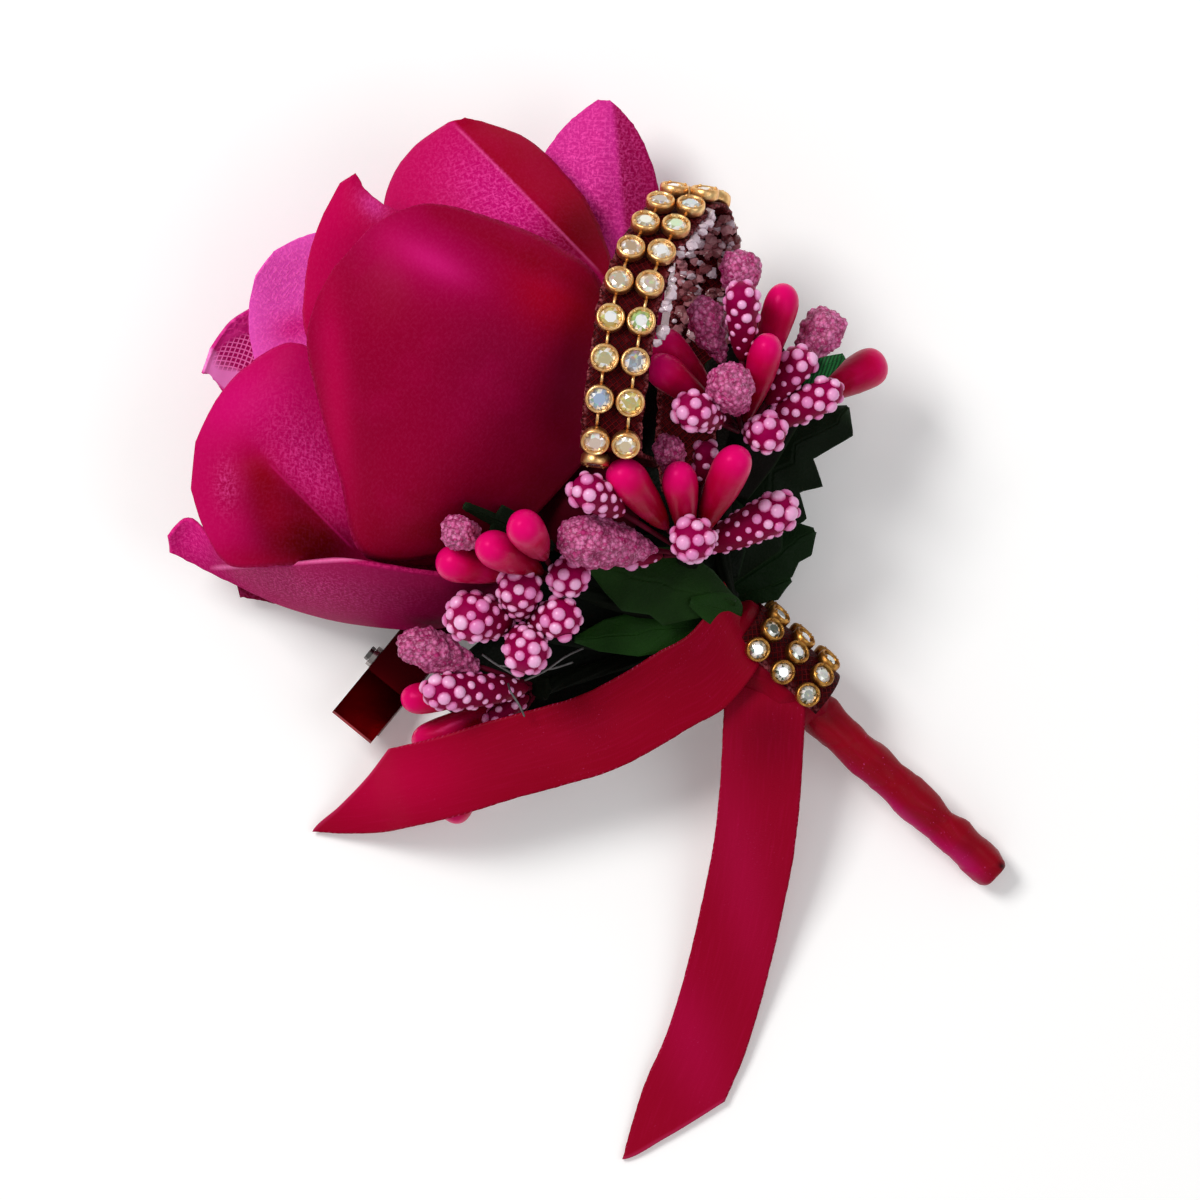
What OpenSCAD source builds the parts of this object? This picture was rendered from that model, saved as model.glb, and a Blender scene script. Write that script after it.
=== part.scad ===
// Flower lapel pin: a cloth rose with berry sprays, leaves, a stone band and satin tails on a spring clip.
// Millimetres. The pin lies on its back, with Z up from the table and +Y towards the top of the rose.
// The origin is the middle of the flat face of the clip's lever, which rests on the table.

/* [Rose] */
// Reach of a petal from the rose's base to its tip
petal_reach = 47.6; // [44:0.2:50]
// Half the width of the front petal
petal_half = 22; // [20:0.5:23]
// Height of the front petal's crest above the table
rose_depth = 38; // [36:0.5:42]
// Thickness of the rose's cloth
petal_wall = 1; // [0.8:0.05:1.1]
// Radius of the ball that the petals are glued round
base_r = 6.5; // [6:0.1:6.6]
// Radius of the rolled heart of the rose
heart_r = 2.7; // [2:0.1:2.8]

/* [Stem] */
// Length of the stem from the middle of the rose's base to its cut end
stem_l = 66; // [62:0.5:72]
// Diameter of the wire core between the rose and the binding
core_d = 3; // [2:0.1:3.4]
// Diameter of the ribbon-wrapped stem
stem_d = 4.6; // [4.4:0.1:5.4]
// Radius of the ribbon binding that holds everything together
binding_r = 4.8; // [4.4:0.1:5.2]
// Length of the binding
binding_l = 16; // [15:0.5:18]

/* [Satin tails] */
// Width of the satin ribbon
ribbon_w = 9.5; // [8:0.1:10]
// Thickness of the satin ribbon
ribbon_wall = 1; // [0.8:0.05:1.1]
// How far the slanted cut runs along the left tail
cut_left = 15; // [8:0.5:16]
// How far the slanted cut runs along the lower tail
cut_down = 13.5; // [8:0.5:15]

/* [Berry sprays] */
// Diameter of the thin stalk under each berry
stalk_d = 0.6; // [0.5:0.05:0.65]
// Radius of the taped knob from which a spray's stalks spread
knob_r = 2.4; // [2.2:0.1:2.6]
// Diameter of the taped bundle from a knob to the binding
bundle_d = 2; // [1.6:0.1:2.2]
// Size of the berries, as a share of their usual size
berry_size = 1; // [0.9:0.02:1.04]

/* [Leaves] */
// Thickness of a leaf
leaf_wall = 1; // [0.8:0.05:1.1]
// Depth of the teeth along a leaf's edge
leaf_tooth = 1.3; // [0.4:0.1:1.6]

/* [Stone band] */
// Width of the mesh strip under the stones
band_w = 7.6; // [7:0.1:8.2]
// Thickness of the mesh strip
band_wall = 0.8; // [0.6:0.05:1]
// Diameter of a cup on the band
cup_d = 3.2; // [2.8:0.05:3.3]
// Height of a cup
cup_h = 1.4; // [1.2:0.05:1.6]
// Spacing of the two columns of cups
cup_gap = 3.5; // [3.4:0.05:4]
// Spacing of the rows of cups along the band
cup_pitch = 4.42; // [4.2:0.02:5]
// Diameter of a cup on the binding
crystal_d = 2.6; // [2.2:0.05:2.7]
// Spacing along the stem of the cups on the binding
crystal_pitch = 4; // [3.4:0.05:4.2]

/* [Clip] */
// Length of the clip
clip_l = 35; // [32:0.5:40]
// Width of the clip's strip
clip_w = 5.8; // [5:0.1:7]
// Thickness of the clip's sheet metal
clip_t = 0.6; // [0.5:0.05:0.7]
// Height of the strip's top face above the table
clip_h = 4; // [4:0.05:4.3]
// Distance of the hinge from the finger end
hinge_x = 8; // [7:0.1:10]
// Diameter of the hinge pin
pin_d = 1.2; // [1:0.05:1.3]
// Radial running clearance of the pin in the strip's ears
pin_play = 0.05; // [0.03:0.01:0.08]
// Rise of the strip's finger tab at its end
tab_rise = 3.6; // [3:0.1:4.5]

/* [Hidden] */
// Small gap between neighbouring pieces
gap = 0.3;

// Middle of the rose's base, from which the petals spread and the stem leaves
base_at = [16.2, 12.6, 15];
// Direction of the stem seen from above, and its fall towards the table
stem_turn = -42;
stem_fall = asin((base_at.z - stem_d / 2) / stem_l);
stem_dir = [cos(stem_turn) * cos(stem_fall), sin(stem_turn) * cos(stem_fall), -sin(stem_fall)];
stem_side = [-sin(stem_turn), cos(stem_turn), 0];
stem_up = cross(stem_dir, stem_side);
// Distance along the stem from the rose's base to the near end of the binding
binding_at = 21.5;
binding_end = binding_at + binding_l;

// Columns of a petal's rows, from its base to its tip: distance along it (share of petal_reach),
// its left edge, middle and right edge (shares of petal_half) and their heights (shares of rose_depth)
col_along = 0;
col_left = 1;
col_middle = 2;
col_right = 3;
col_left_z = 4;
col_middle_z = 5;
col_right_z = 6;
FRONT = [
    [0.07, -0.22, -0.02, 0.20, 0.585, 0.60, 0.59],
    [0.17, -0.68, -0.08, 0.42, 0.60, 0.74, 0.66],
    [0.31, -0.97, -0.03, 0.88, 0.63, 0.91, 0.70],
    [0.47, -0.76, 0.06, 0.88, 0.69, 0.985, 0.77],
    [0.62, -0.55, 0.10, 0.76, 0.77, 1.00, 0.83],
    [0.74, -0.36, 0.14, 0.62, 0.84, 0.96, 0.88],
    [0.79, -0.18, 0.15, 0.47, 0.88, 0.92, 0.90],
    [0.815, 0.04, 0.17, 0.30, 0.89, 0.90, 0.895]];
POINTED = [
    [0.10, -0.15, 0.00, 0.15, 0.53, 0.545, 0.53],
    [0.25, -0.30, 0.00, 0.32, 0.58, 0.66, 0.63],
    [0.45, -0.45, 0.00, 0.50, 0.62, 0.77, 0.74],
    [0.59, -0.56, -0.04, 0.42, 0.63, 0.80, 0.79],
    [0.71, -0.66, -0.16, 0.27, 0.66, 0.81, 0.80],
    [0.82, -0.50, -0.18, 0.10, 0.70, 0.81, 0.80],
    [0.90, -0.30, -0.12, 0.03, 0.75, 0.81, 0.80],
    [0.96, -0.05, 0.00, 0.03, 0.80, 0.81, 0.80]];
TOP = [
    [0.13, -0.14, 0.00, 0.16, 0.48, 0.495, 0.48],
    [0.29, -0.20, 0.12, 0.45, 0.52, 0.58, 0.50],
    [0.50, -0.32, 0.10, 0.52, 0.55, 0.66, 0.50],
    [0.67, -0.50, 0.00, 0.51, 0.55, 0.67, 0.48],
    [0.79, -0.53, -0.05, 0.42, 0.52, 0.63, 0.45],
    [0.88, -0.44, -0.06, 0.31, 0.50, 0.58, 0.45],
    [0.945, -0.26, -0.05, 0.14, 0.50, 0.54, 0.47],
    [0.975, -0.04, 0.00, 0.03, 0.51, 0.52, 0.51]];
RIGHT = [
    [0.15, -0.15, 0.00, 0.15, 0.34, 0.347, 0.34],
    [0.30, -0.34, 0.00, 0.30, 0.33, 0.36, 0.32],
    [0.50, -0.42, 0.00, 0.36, 0.33, 0.38, 0.31],
    [0.70, -0.40, 0.00, 0.34, 0.32, 0.37, 0.30],
    [0.82, -0.32, 0.00, 0.28, 0.31, 0.35, 0.30],
    [0.91, -0.20, 0.00, 0.19, 0.31, 0.33, 0.31],
    [0.96, -0.09, 0.00, 0.10, 0.32, 0.33, 0.32],
    [0.985, -0.02, 0.01, 0.04, 0.33, 0.33, 0.33]];
ROUND = [
    [0.155, -0.15, 0.00, 0.15, 0.39, 0.395, 0.39],
    [0.32, -0.42, 0.00, 0.42, 0.38, 0.40, 0.38],
    [0.55, -0.60, 0.00, 0.58, 0.38, 0.415, 0.39],
    [0.75, -0.55, 0.00, 0.56, 0.39, 0.42, 0.41],
    [0.87, -0.38, 0.00, 0.42, 0.41, 0.435, 0.43],
    [0.94, -0.20, 0.02, 0.24, 0.44, 0.46, 0.45],
    [0.97, -0.05, 0.03, 0.10, 0.47, 0.475, 0.47]];
FOLDED = [
    [0.15, -0.15, 0.00, 0.15, 0.34, 0.347, 0.34],
    [0.32, -0.42, 0.00, 0.42, 0.30, 0.32, 0.32],
    [0.56, -0.58, 0.00, 0.58, 0.26, 0.29, 0.29],
    [0.77, -0.54, 0.00, 0.54, 0.26, 0.28, 0.30],
    [0.89, -0.38, 0.02, 0.40, 0.28, 0.29, 0.32],
    [0.96, -0.18, 0.02, 0.24, 0.32, 0.33, 0.35],
    [0.985, -0.08, 0.00, 0.05, 0.34, 0.35, 0.36]];
LEFT = [
    [0.15, -0.14, 0.00, 0.14, 0.47, 0.495, 0.49],
    [0.27, -0.35, -0.03, 0.25, 0.48, 0.54, 0.54],
    [0.46, -0.42, -0.05, 0.32, 0.50, 0.62, 0.58],
    [0.63, -0.42, 0.05, 0.58, 0.52, 0.63, 0.60],
    [0.74, -0.43, 0.10, 0.68, 0.54, 0.64, 0.60],
    [0.84, -0.45, 0.04, 0.54, 0.54, 0.62, 0.57],
    [0.905, -0.34, 0.03, 0.36, 0.54, 0.58, 0.55],
    [0.95, -0.12, 0.00, 0.12, 0.53, 0.54, 0.54]];
BOTTOM = [
    [0.17, -0.40, -0.36, -0.26, 0.27, 0.38, 0.48],
    [0.27, -0.52, -0.47, -0.32, 0.23, 0.42, 0.60],
    [0.42, -0.56, -0.50, -0.26, 0.21, 0.43, 0.67],
    [0.60, -0.49, -0.40, -0.16, 0.20, 0.40, 0.65],
    [0.75, -0.37, -0.28, -0.15, 0.20, 0.33, 0.49],
    [0.87, -0.22, -0.16, -0.10, 0.22, 0.28, 0.37],
    [0.96, -0.10, 0.02, 0.14, 0.24, 0.28, 0.34],
    [1.02, -0.02, 0.02, 0.06, 0.29, 0.30, 0.32]];
UNDER = [
    [0.20, -0.30, -0.12, 0.02, 0.215, 0.235, 0.24],
    [0.45, -0.36, -0.12, 0.10, 0.13, 0.135, 0.13],
    [0.66, -0.27, -0.09, 0.10, 0.08, 0.09, 0.09],
    [0.80, -0.11, 0.00, 0.12, 0.08, 0.09, 0.10],
    [0.88, -0.03, 0.02, 0.06, 0.09, 0.095, 0.10]];
BACK_LEFT = [
    [0.13, -0.14, 0.00, 0.14, 0.285, 0.29, 0.285],
    [0.28, -0.40, 0.00, 0.40, 0.235, 0.255, 0.235],
    [0.50, -0.58, 0.00, 0.58, 0.20, 0.20, 0.20],
    [0.72, -0.56, 0.00, 0.56, 0.17, 0.15, 0.17],
    [0.85, -0.40, 0.00, 0.40, 0.16, 0.14, 0.16],
    [0.92, -0.15, 0.00, 0.15, 0.17, 0.16, 0.17]];
BACK_MIDDLE = [
    [0.10, -0.14, 0.00, 0.14, 0.22, 0.225, 0.22],
    [0.25, -0.38, 0.00, 0.38, 0.15, 0.17, 0.15],
    [0.50, -0.55, 0.00, 0.55, 0.09, 0.07, 0.09],
    [0.72, -0.52, 0.00, 0.52, 0.05, 0.02, 0.05],
    [0.85, -0.36, 0.00, 0.36, 0.05, 0.03, 0.05],
    [0.91, -0.15, 0.00, 0.15, 0.07, 0.06, 0.07]];
BACK_RIGHT = [
    [0.13, -0.14, 0.00, 0.14, 0.255, 0.257, 0.255],
    [0.28, -0.36, 0.00, 0.38, 0.185, 0.20, 0.195],
    [0.50, -0.50, 0.00, 0.50, 0.14, 0.14, 0.155],
    [0.72, -0.52, 0.00, 0.46, 0.12, 0.11, 0.14],
    [0.85, -0.36, 0.00, 0.32, 0.12, 0.11, 0.15],
    [0.92, -0.15, 0.00, 0.15, 0.14, 0.14, 0.16]];
BUD_UPPER = [
    [0.24, -0.06, 0.00, 0.06, 0.50, 0.505, 0.50],
    [0.36, -0.14, 0.00, 0.12, 0.53, 0.57, 0.53],
    [0.50, -0.20, 0.00, 0.19, 0.57, 0.65, 0.58],
    [0.66, -0.23, 0.00, 0.24, 0.61, 0.69, 0.62],
    [0.77, -0.18, 0.00, 0.18, 0.64, 0.68, 0.65],
    [0.82, -0.08, 0.00, 0.08, 0.66, 0.67, 0.66]];
BUD_LOWER = [
    [0.20, -0.06, 0.00, 0.06, 0.43, 0.43, 0.43],
    [0.34, -0.15, 0.00, 0.15, 0.455, 0.44, 0.455],
    [0.50, -0.23, 0.00, 0.23, 0.49, 0.45, 0.49],
    [0.66, -0.24, 0.00, 0.24, 0.52, 0.46, 0.52],
    [0.77, -0.18, 0.00, 0.18, 0.53, 0.49, 0.53],
    [0.82, -0.08, 0.00, 0.08, 0.53, 0.51, 0.53]];

// Columns of the berries of each spray: x, y and z of its middle, its length and its width
col_long = 3;
col_wide = 4;
A_SMOOTH = [[38.3, 33.8, 24, 8, 4], [26.6, 29.4, 26, 7.5, 4], [26.2, 26.8, 29.5, 7.5, 4],
    [36.6, 28.6, 27.5, 7.5, 3.8], [48.2, 27.8, 13.5, 7, 4.6]];
A_DOTTED = [[34.2, 35.2, 30, 6.2, 4.6], [28.7, 22.9, 33, 5.6, 5], [37.0, 20.5, 27.8, 5.4, 5],
    [40.6, 28.4, 24, 5, 4.6], [42.3, 24.3, 22.5, 8.6, 4.8]];
A_SUGARED = [[34.0, 39.0, 24, 5.4, 4.8], [30.3, 33.2, 25.5, 6.2, 4.2], [32.9, 25.6, 31, 6.4, 5.4],
    [43.6, 32.4, 19, 5.6, 5.2]];
B_SMOOTH = [[21.6, 14.5, 31.5, 8, 4.5], [27.2, 14.1, 29, 7.6, 4], [32.5, 15.5, 29, 8.6, 4.4]];
B_DOTTED = [[30.1, 18.2, 25.5, 3.6, 3.4], [16.8, 13.6, 34.4, 5.4, 4.8], [28.6, 8.3, 28.5, 5.6, 5.6],
    [36.9, 10.8, 22, 9, 5.4], [21.6, 6.4, 23.5, 3.4, 3.2]];
B_SUGARED = [[25.9, 18.2, 27.6, 4.4, 3.8], [17.4, 8.0, 28.5, 10, 6.2]];
C_SMOOTH = [[9.8, 9.0, 35.5, 8, 4.3], [6.7, 6.8, 30.6, 8.4, 4.3], [2.4, 5.4, 26.6, 7, 4.3]];
C_DOTTED = [[14.3, 4.0, 25.4, 6, 4.4]];
C_SUGARED = [[1.9, 9.0, 30.5, 4.4, 4]];
D_SMOOTH = [[-1.8, -10.0, 10.5, 7, 3.6], [-0.4, -14.2, 6.6, 8, 4], [0.8, -21.6, 6, 5, 4]];
D_DOTTED = [[1.2, -9.2, 15.4, 9, 5], [6.2, -12.2, 10, 4.2, 3.2]];
D_SUGARED = [[-1.8, -4.4, 16, 8, 5]];
E_DOTTED = [[8.7, 2.5, 24.8, 6, 4.8], [3.4, -0.6, 24, 7, 5.8], [13.3, -0.7, 24.4, 5.2, 4.8],
    [9.4, -4.3, 23.5, 6.8, 4.8]];
// Knob of each spray, and where its bundle meets the binding: sideways and upwards from the stem's axis
KNOB_A = [34.4, 20.5, 22];
KNOB_B = [28.2, 6.6, 21];
KNOB_C = [13.6, 3.4, 18.6];
KNOB_D = [11.0, -8.8, 9.8];
KNOB_E = [8.8, -1.2, 18.4];
FOOT_A = [3.6, 1.6];
FOOT_B = [0.9, 3.4];
FOOT_C = [-2.0, 1.9];
FOOT_D = [-3.4, -2.6];
FOOT_E = [-4.0, 0.4];

// Columns of the leaves: root, tip, half width, where it is widest (below 1 nearer the root), bow of its
// middle, fold along its rib and teeth on each edge
col_root = 0;
col_tip = 1;
col_half = 2;
col_full = 3;
col_bow = 4;
col_fold = 5;
col_teeth = 6;
LEAF_RIGHT_UPPER = [[30.6, 2.0, 8.6], [46.6, 22.4, 9], 4.2, 0.62, 0.8, 0.8, 4];
LEAF_RIGHT_MIDDLE = [[31.6, 1.6, 6.6], [43.0, 9.5, 5.8], 3, 0.8, 0.5, 0.4, 3];
LEAF_RIGHT_LOWER = [[32.2, 1.6, 4.8], [40.3, 3.8, 4.2], 2, 0.85, 0.3, 0.3, 2];
LEAF_LIGHT = [[30.0, 0.6, 15.8], [21.4, 3.6, 19], 3.4, 0.85, 0.8, 0.6, 1];
LEAF_LEFT_TIP = [[28.0, -2.6, 10.4], [16.8, -2.6, 11.4], 2.6, 0.85, 0.4, 0.3, 1];
LEAF_UNDER_TAIL = [[29.8, -4.4, 6.4], [0, -10.2, 5.2], 4.6, 0.85, 0.2, 0.3, 3];
LEAF_BEHIND = [[31.2, 3.2, 10.9], [23.8, 27.2, 8], 4.4, 0.85, 0.4, 0.5, 4];
LEAF_SMALL = [[12.6, 7.4, 20.8], [2.4, 12.2, 0.79 * rose_depth], 1.5, 0.85, 1.5, 0.3, 1];

// Middle line of the tails, laid from the binding over the berries and down to the table
TAIL_LEFT = [[30.4, -6.8, 15.2], [26.6, -9.0, 14.8], [22.0, -11.8, 13.9], [17.4, -14.1, 13],
    [12.1, -15.7, 12.4], [6.2, -17.3, 12.2], [0.4, -19.1, 11.2], [-4.4, -20.3, 8.4],
    [-8.6, -21.2, 4.6], [-12.8, -21.4, 2], [-16.8, -21.2, 0.6]];
TAIL_DOWN = [[37.0, -11.0, 13.2], [36.9, -15.5, 11.4], [36.6, -21.0, 9.4], [35.9, -27.8, 7], [34.8, -33.7, 5],
    [33.5, -39.7, 3.4], [32.0, -45.6, 2.2], [30.1, -51.5, 1.4], [27.7, -57.0, 0.9],
    [26.1, -62.0, 0.6], [24.9, -66.4, 0.55]];
// Middle line of the stone band, from the sprays up over the rose's right side and back underneath
BAND = [[21.2, 17.2, 20.4], [20.9, 17.9, 24], [20.0, 18.1, 28.6], [19.3, 18.3, 32.6], [19.2, 19.4, 36.2],
    [19.6, 23.6, 37.3],
    [20.2, 28.5, 37.6], [20.9, 33.1, 36.8], [21.9, 37.2, 35.2], [23.4, 41.0, 32.6], [25.2, 43.9, 29.4],
    [26.8, 46.0, 26.2], [28.2, 47.2, 22.8], [29.4, 46.8, 19.4], [30.2, 44.8, 16.6], [30.4, 41.6, 14.8],
    [30.0, 37.0, 13.6], [29.0, 31.0, 13], [28.2, 25.0, 12.6], [28.0, 19.0, 12.4], [28.6, 13.4, 12.2]];
BAND_SIDE = [0.99, -0.12, 0];

// Interpolation through the rows of a table
function row_of(rows, i) = rows[max(0, min(len(rows) - 1, i))];
function bend(a, b, c, d, f) =
    b + 0.5 * f * (c - a + f * (2 * a - 5 * b + 4 * c - d + f * (3 * (b - c) + d - a)));
function track(rows, t) =
    let (s = t * (len(rows) - 1), i = min(floor(s), len(rows) - 2), f = s - i)
    bend(row_of(rows, i - 1), row_of(rows, i), row_of(rows, i + 1), row_of(rows, i + 2), f);
function arch(left, middle, right, v) =
    middle + (right - left) / 2 * v + ((left + right) / 2 - middle) * v * v;
function unit(a) = a / norm(a);

// A closed sheet from two grids of points with across + 1 points in each row
module sheet_solid(upper, lower, across) {
    n = len(upper);
    w = across + 1;
    along = n / w - 1;
    cells = [for (i = [0:along - 1]) for (j = [0:across - 1]) i * w + j];
    up = [for (a = cells) each [[a + w + 1, a + 1, a], [a + w, a + w + 1, a]]];
    down = [for (a = cells) each [[a + n, a + n + 1, a + n + w + 1], [a + n, a + n + w + 1, a + n + w]]];
    left = [for (i = [0:along - 1]) let (a = i * w, b = a + w) each [[a, a + n, b + n], [a, b + n, b]]];
    right = [for (i = [0:along - 1]) let (a = i * w + across, b = a + w)
        each [[a, b + n, a + n], [a, b, b + n]]];
    near = [for (j = [0:across - 1]) let (a = j, b = j + 1) each [[a, b, b + n], [a, b + n, a + n]]];
    far = [for (j = [0:across - 1]) let (a = along * w + j, b = a + 1)
        each [[a, b + n, b], [a, a + n, b + n]]];
    polyhedron(concat(upper, lower), concat(up, down, left, right, near, far), convexity = 8);
}

// Petals. A crease has its place at the base and at the tip (-1 left edge, 1 right edge) and its height.
crease_base = 0;
crease_tip = 1;
crease_rise = 2;
// How far a crease spreads to each side, as a share of half the petal
crease_spread = 0.7;
function petal_point(rows, turn, crease, t, v) =
    let (r = track(rows, t),
        along = r[col_along] * petal_reach,
        aside = arch(r[col_left], r[col_middle], r[col_right], v) * petal_half,
        ridge = crease[crease_base] + (crease[crease_tip] - crease[crease_base]) * t,
        lift = crease[crease_rise] * max(0, 1 - abs(v - ridge) / crease_spread) * sin(180 * min(1, t * 1.1)))
    [base_at.x + along * cos(turn) + aside * sin(turn),
        base_at.y + along * sin(turn) - aside * cos(turn),
        arch(r[col_left_z], r[col_middle_z], r[col_right_z], v) * rose_depth + lift];

petal_along = 10;
petal_across = 8;
nudge = 0.01;

function petal_normal(rows, turn, crease, t, v) =
    let (t0 = max(0, t - nudge), t1 = min(1, t + nudge), v0 = max(-1, v - nudge), v1 = min(1, v + nudge))
    unit(cross(petal_point(rows, turn, crease, t, v1) - petal_point(rows, turn, crease, t, v0),
        petal_point(rows, turn, crease, t1, v) - petal_point(rows, turn, crease, t0, v)));

module petal(rows, turn, crease = [0, 0, 0]) {
    grid = [for (i = [0:petal_along]) for (j = [0:petal_across])
        let (t = i / petal_along, v = 2 * j / petal_across - 1,
            p = petal_point(rows, turn, crease, t, v), n = petal_normal(rows, turn, crease, t, v))
        [p + n * petal_wall / 2, p - n * petal_wall / 2]];
    sheet_solid([for (g = grid) g[0]], [for (g = grid) g[1]], petal_across);
}

module petal_front() { color("#84002a") petal(FRONT, 138); }
module petal_pointed() { color("#ba0149") petal(POINTED, 126); }
module petal_top() { color("#c81f70") petal(TOP, 108.4, [1.2, -0.1, 1.4]); }
module petal_right() { color("#cf3390") petal(RIGHT, 87.5, [0.1, 0, 1]); }
module petal_round() { color("#d84aa0") petal(ROUND, 144); }
module petal_folded() { color("#e446a0") petal(FOLDED, 159, [-0.2, -0.3, 0.8]); }
module petal_left() { color("#b70859") petal(LEFT, 174.5, [0.3, -0.1, -1.6]); }
module petal_bottom() { color("#99175a") petal(BOTTOM, 186.2); }
module petal_under() { color("#8a1048") petal(UNDER, 194); }
module petal_back_left() { color("#a00c4c") petal(BACK_LEFT, 168); }
module petal_back_middle() { color("#a00c4c") petal(BACK_MIDDLE, 140); }
module petal_back_right() { color("#a00c4c") petal(BACK_RIGHT, 113); }
module petal_bud_upper() { color("#b00c50") petal(BUD_UPPER, 138); }
module petal_bud_lower() { color("#b00c50") petal(BUD_LOWER, 138); }

// Puts what is drawn along +Z onto the line from one point towards another
module aim(from, to) {
    d = to - from;
    translate(from) rotate([0, acos(d.z / norm(d)), atan2(d.y, d.x)]) children();
}

// Ends of the heart's axis: distance from the rose's base (share of petal_reach) and height (of rose_depth)
function on_heart(far, high) =
    [base_at.x - cos(stem_turn) * far * petal_reach, base_at.y - sin(stem_turn) * far * petal_reach,
        high * rose_depth];
heart_from = on_heart(0.24, 0.468);
heart_to = on_heart(0.75, 0.616);
heart_l = norm(heart_to - heart_from);
module rose_heart() {
    color("#9c0540") aim(heart_from, heart_to) rotate_extrude($fn = 32)
        polygon([[0, 0], [heart_r * 0.25, 0], [heart_r * 0.5, heart_l * 0.15], [heart_r * 0.9, heart_l * 0.4],
            [heart_r, heart_l * 0.6], [heart_r * 0.85, heart_l * 0.8], [heart_r * 0.45, heart_l * 0.95],
            [0, heart_l]]);
}
module rose_base() { color("#5c0c24") translate(base_at) sphere(base_r, $fn = 40); }

// Stem and binding
function on_stem(d) = base_at + d * stem_dir;
function off_stem(d, aside, up) = on_stem(d) + aside * stem_side + up * stem_up;
module along_stem(d) { aim(on_stem(d), on_stem(d + 1)) children(); }

module stem_core() {
    color("#3a4a20") along_stem(base_r + gap)
        cylinder(d = core_d, h = binding_at - base_r - 2 * gap, $fn = 32);
}
// Outline of the binding: distance from its near end (share of binding_l) and radius (share of binding_r)
col_at = 0;
col_r = 1;
BINDING = [[0, 0.72], [0.05, 0.95], [0.2, 1], [0.72, 1], [0.86, 0.9], [0.95, 0.72], [1, 0.6]];
module binding() {
    color("#8a0220") along_stem(binding_at) rotate_extrude($fn = 48)
        polygon(concat([[0, 0]], [for (b = BINDING) [b[col_r] * binding_r, b[col_at] * binding_l]],
            [[0, binding_l]]));
}
// Swellings of the ribbon wrapped round the stem, from the binding to the cut end
wrap_turns = 5;
// (distance as a share of one turn, radius as a share of half stem_d)
WRAP = [[0.05, 0.9], [0.3, 1.04], [0.62, 1.0], [0.85, 0.93]];
module wrapped_stem() {
    start = binding_end + gap;
    long = stem_l - start;
    step = long / wrap_turns;
    color("#86011d") along_stem(start) rotate_extrude($fn = 40)
        polygon(concat([[0, 0], [0.88 * stem_d / 2, 0]],
            [for (k = [0:wrap_turns - 1]) for (w = WRAP) [w[col_r] * stem_d / 2, (k + w[col_at]) * step]],
            [[0.8 * stem_d / 2, long], [0, long]]));
}

// Satin tails: side is the width direction at the start and the end, and cut the slant of the end
function tail_point(line, side, cut, t, v) =
    let (d = norm(track(line, 1) - track(line, 0)), s = t * (1 + v * cut / d / 2) / (1 + abs(cut) / d / 2),
        side_now = unit(side[0] + (side[1] - side[0]) * s))
    track(line, s) + v * ribbon_w / 2 * side_now;
tail_along = 22;
tail_across = 2;
module tail(line, side, cut) {
    grid = [for (i = [0:tail_along]) for (j = [0:tail_across])
        let (t = i / tail_along, v = 2 * j / tail_across - 1, t0 = max(0, t - nudge), t1 = min(1, t + nudge),
            p = tail_point(line, side, cut, t, v),
            n = unit(cross(tail_point(line, side, cut, t, 1) - tail_point(line, side, cut, t, -1),
                tail_point(line, side, cut, t1, v) - tail_point(line, side, cut, t0, v))))
        [p + n * ribbon_wall / 2, p - n * ribbon_wall / 2]];
    sheet_solid([for (g = grid) g[0]], [for (g = grid) g[1]], tail_across);
}
module ribbon_tail_left() {
    color("#8f0225") tail(TAIL_LEFT, [[-0.5, 0.86, 0.1], [-0.2, 0.95, 0]], -cut_left);
}
module ribbon_tail_down() {
    color("#97022a") tail(TAIL_DOWN, [[-1, 0, -0.14], [-0.9, 0.42, 0]], cut_down);
}

// Berries: a bead with its stalk is one solid of revolution
berry_steps = 7;
module berry(knob, b) {
    middle = [b.x, b.y, b.z];
    dist = norm(middle - knob);
    long = b[col_long] * berry_size;
    wide = b[col_wide] * berry_size;
    foot = knob_r + gap - dist;
    aim(knob, middle) translate([0, 0, dist]) rotate_extrude($fn = 20)
        polygon(concat([[0, foot], [stalk_d / 2, foot], [stalk_d / 2, -long / 2]],
            [for (k = [1:berry_steps]) let (a = 180 * k / (berry_steps + 1))
                [wide / 2 * sin(a) * (1 - 0.12 * cos(a)), -long / 2 * cos(a)]],
            [[0, long / 2]]));
}
module berries(knob, list) {
    for (b = list) berry(knob, b);
}
// Depth of the rose for which the heights of the berries that stand against it are given
drawn_depth = 38;
function on_rose(list) =
    [for (b = list) [b.x, b.y, b.z * rose_depth / drawn_depth, b[col_long], b[col_wide]]];
// Stem of a spray: its knob and the bundle down to the binding are one solid of revolution
knob_steps = 10;
module spray_stem(knob, foot) {
    end = off_stem(binding_at - gap, foot[0], foot[1]);
    long = norm(end - knob) - bundle_d / 4;
    meet = 180 - asin(bundle_d / 2 / knob_r);
    aim(knob, end) rotate_extrude($fn = 32)
        polygon(concat([[0, -knob_r]],
            [for (k = [1:knob_steps]) let (a = meet * k / knob_steps) [knob_r * sin(a), -knob_r * cos(a)]],
            [[bundle_d / 2, long], [0, long]]));
}
module spray_a_stem() { color("#27351a") spray_stem(KNOB_A, FOOT_A); }
module spray_a_smooth() { color("#c80f50") berries(KNOB_A, A_SMOOTH); }
module spray_a_dotted() { color("#a81850") berries(KNOB_A, A_DOTTED); }
module spray_a_sugared() { color("#b03a70") berries(KNOB_A, A_SUGARED); }
module spray_b_stem() { color("#27351a") spray_stem(KNOB_B, FOOT_B); }
module spray_b_smooth() { color("#c80f50") berries(KNOB_B, B_SMOOTH); }
module spray_b_dotted() { color("#a81850") berries(KNOB_B, B_DOTTED); }
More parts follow.
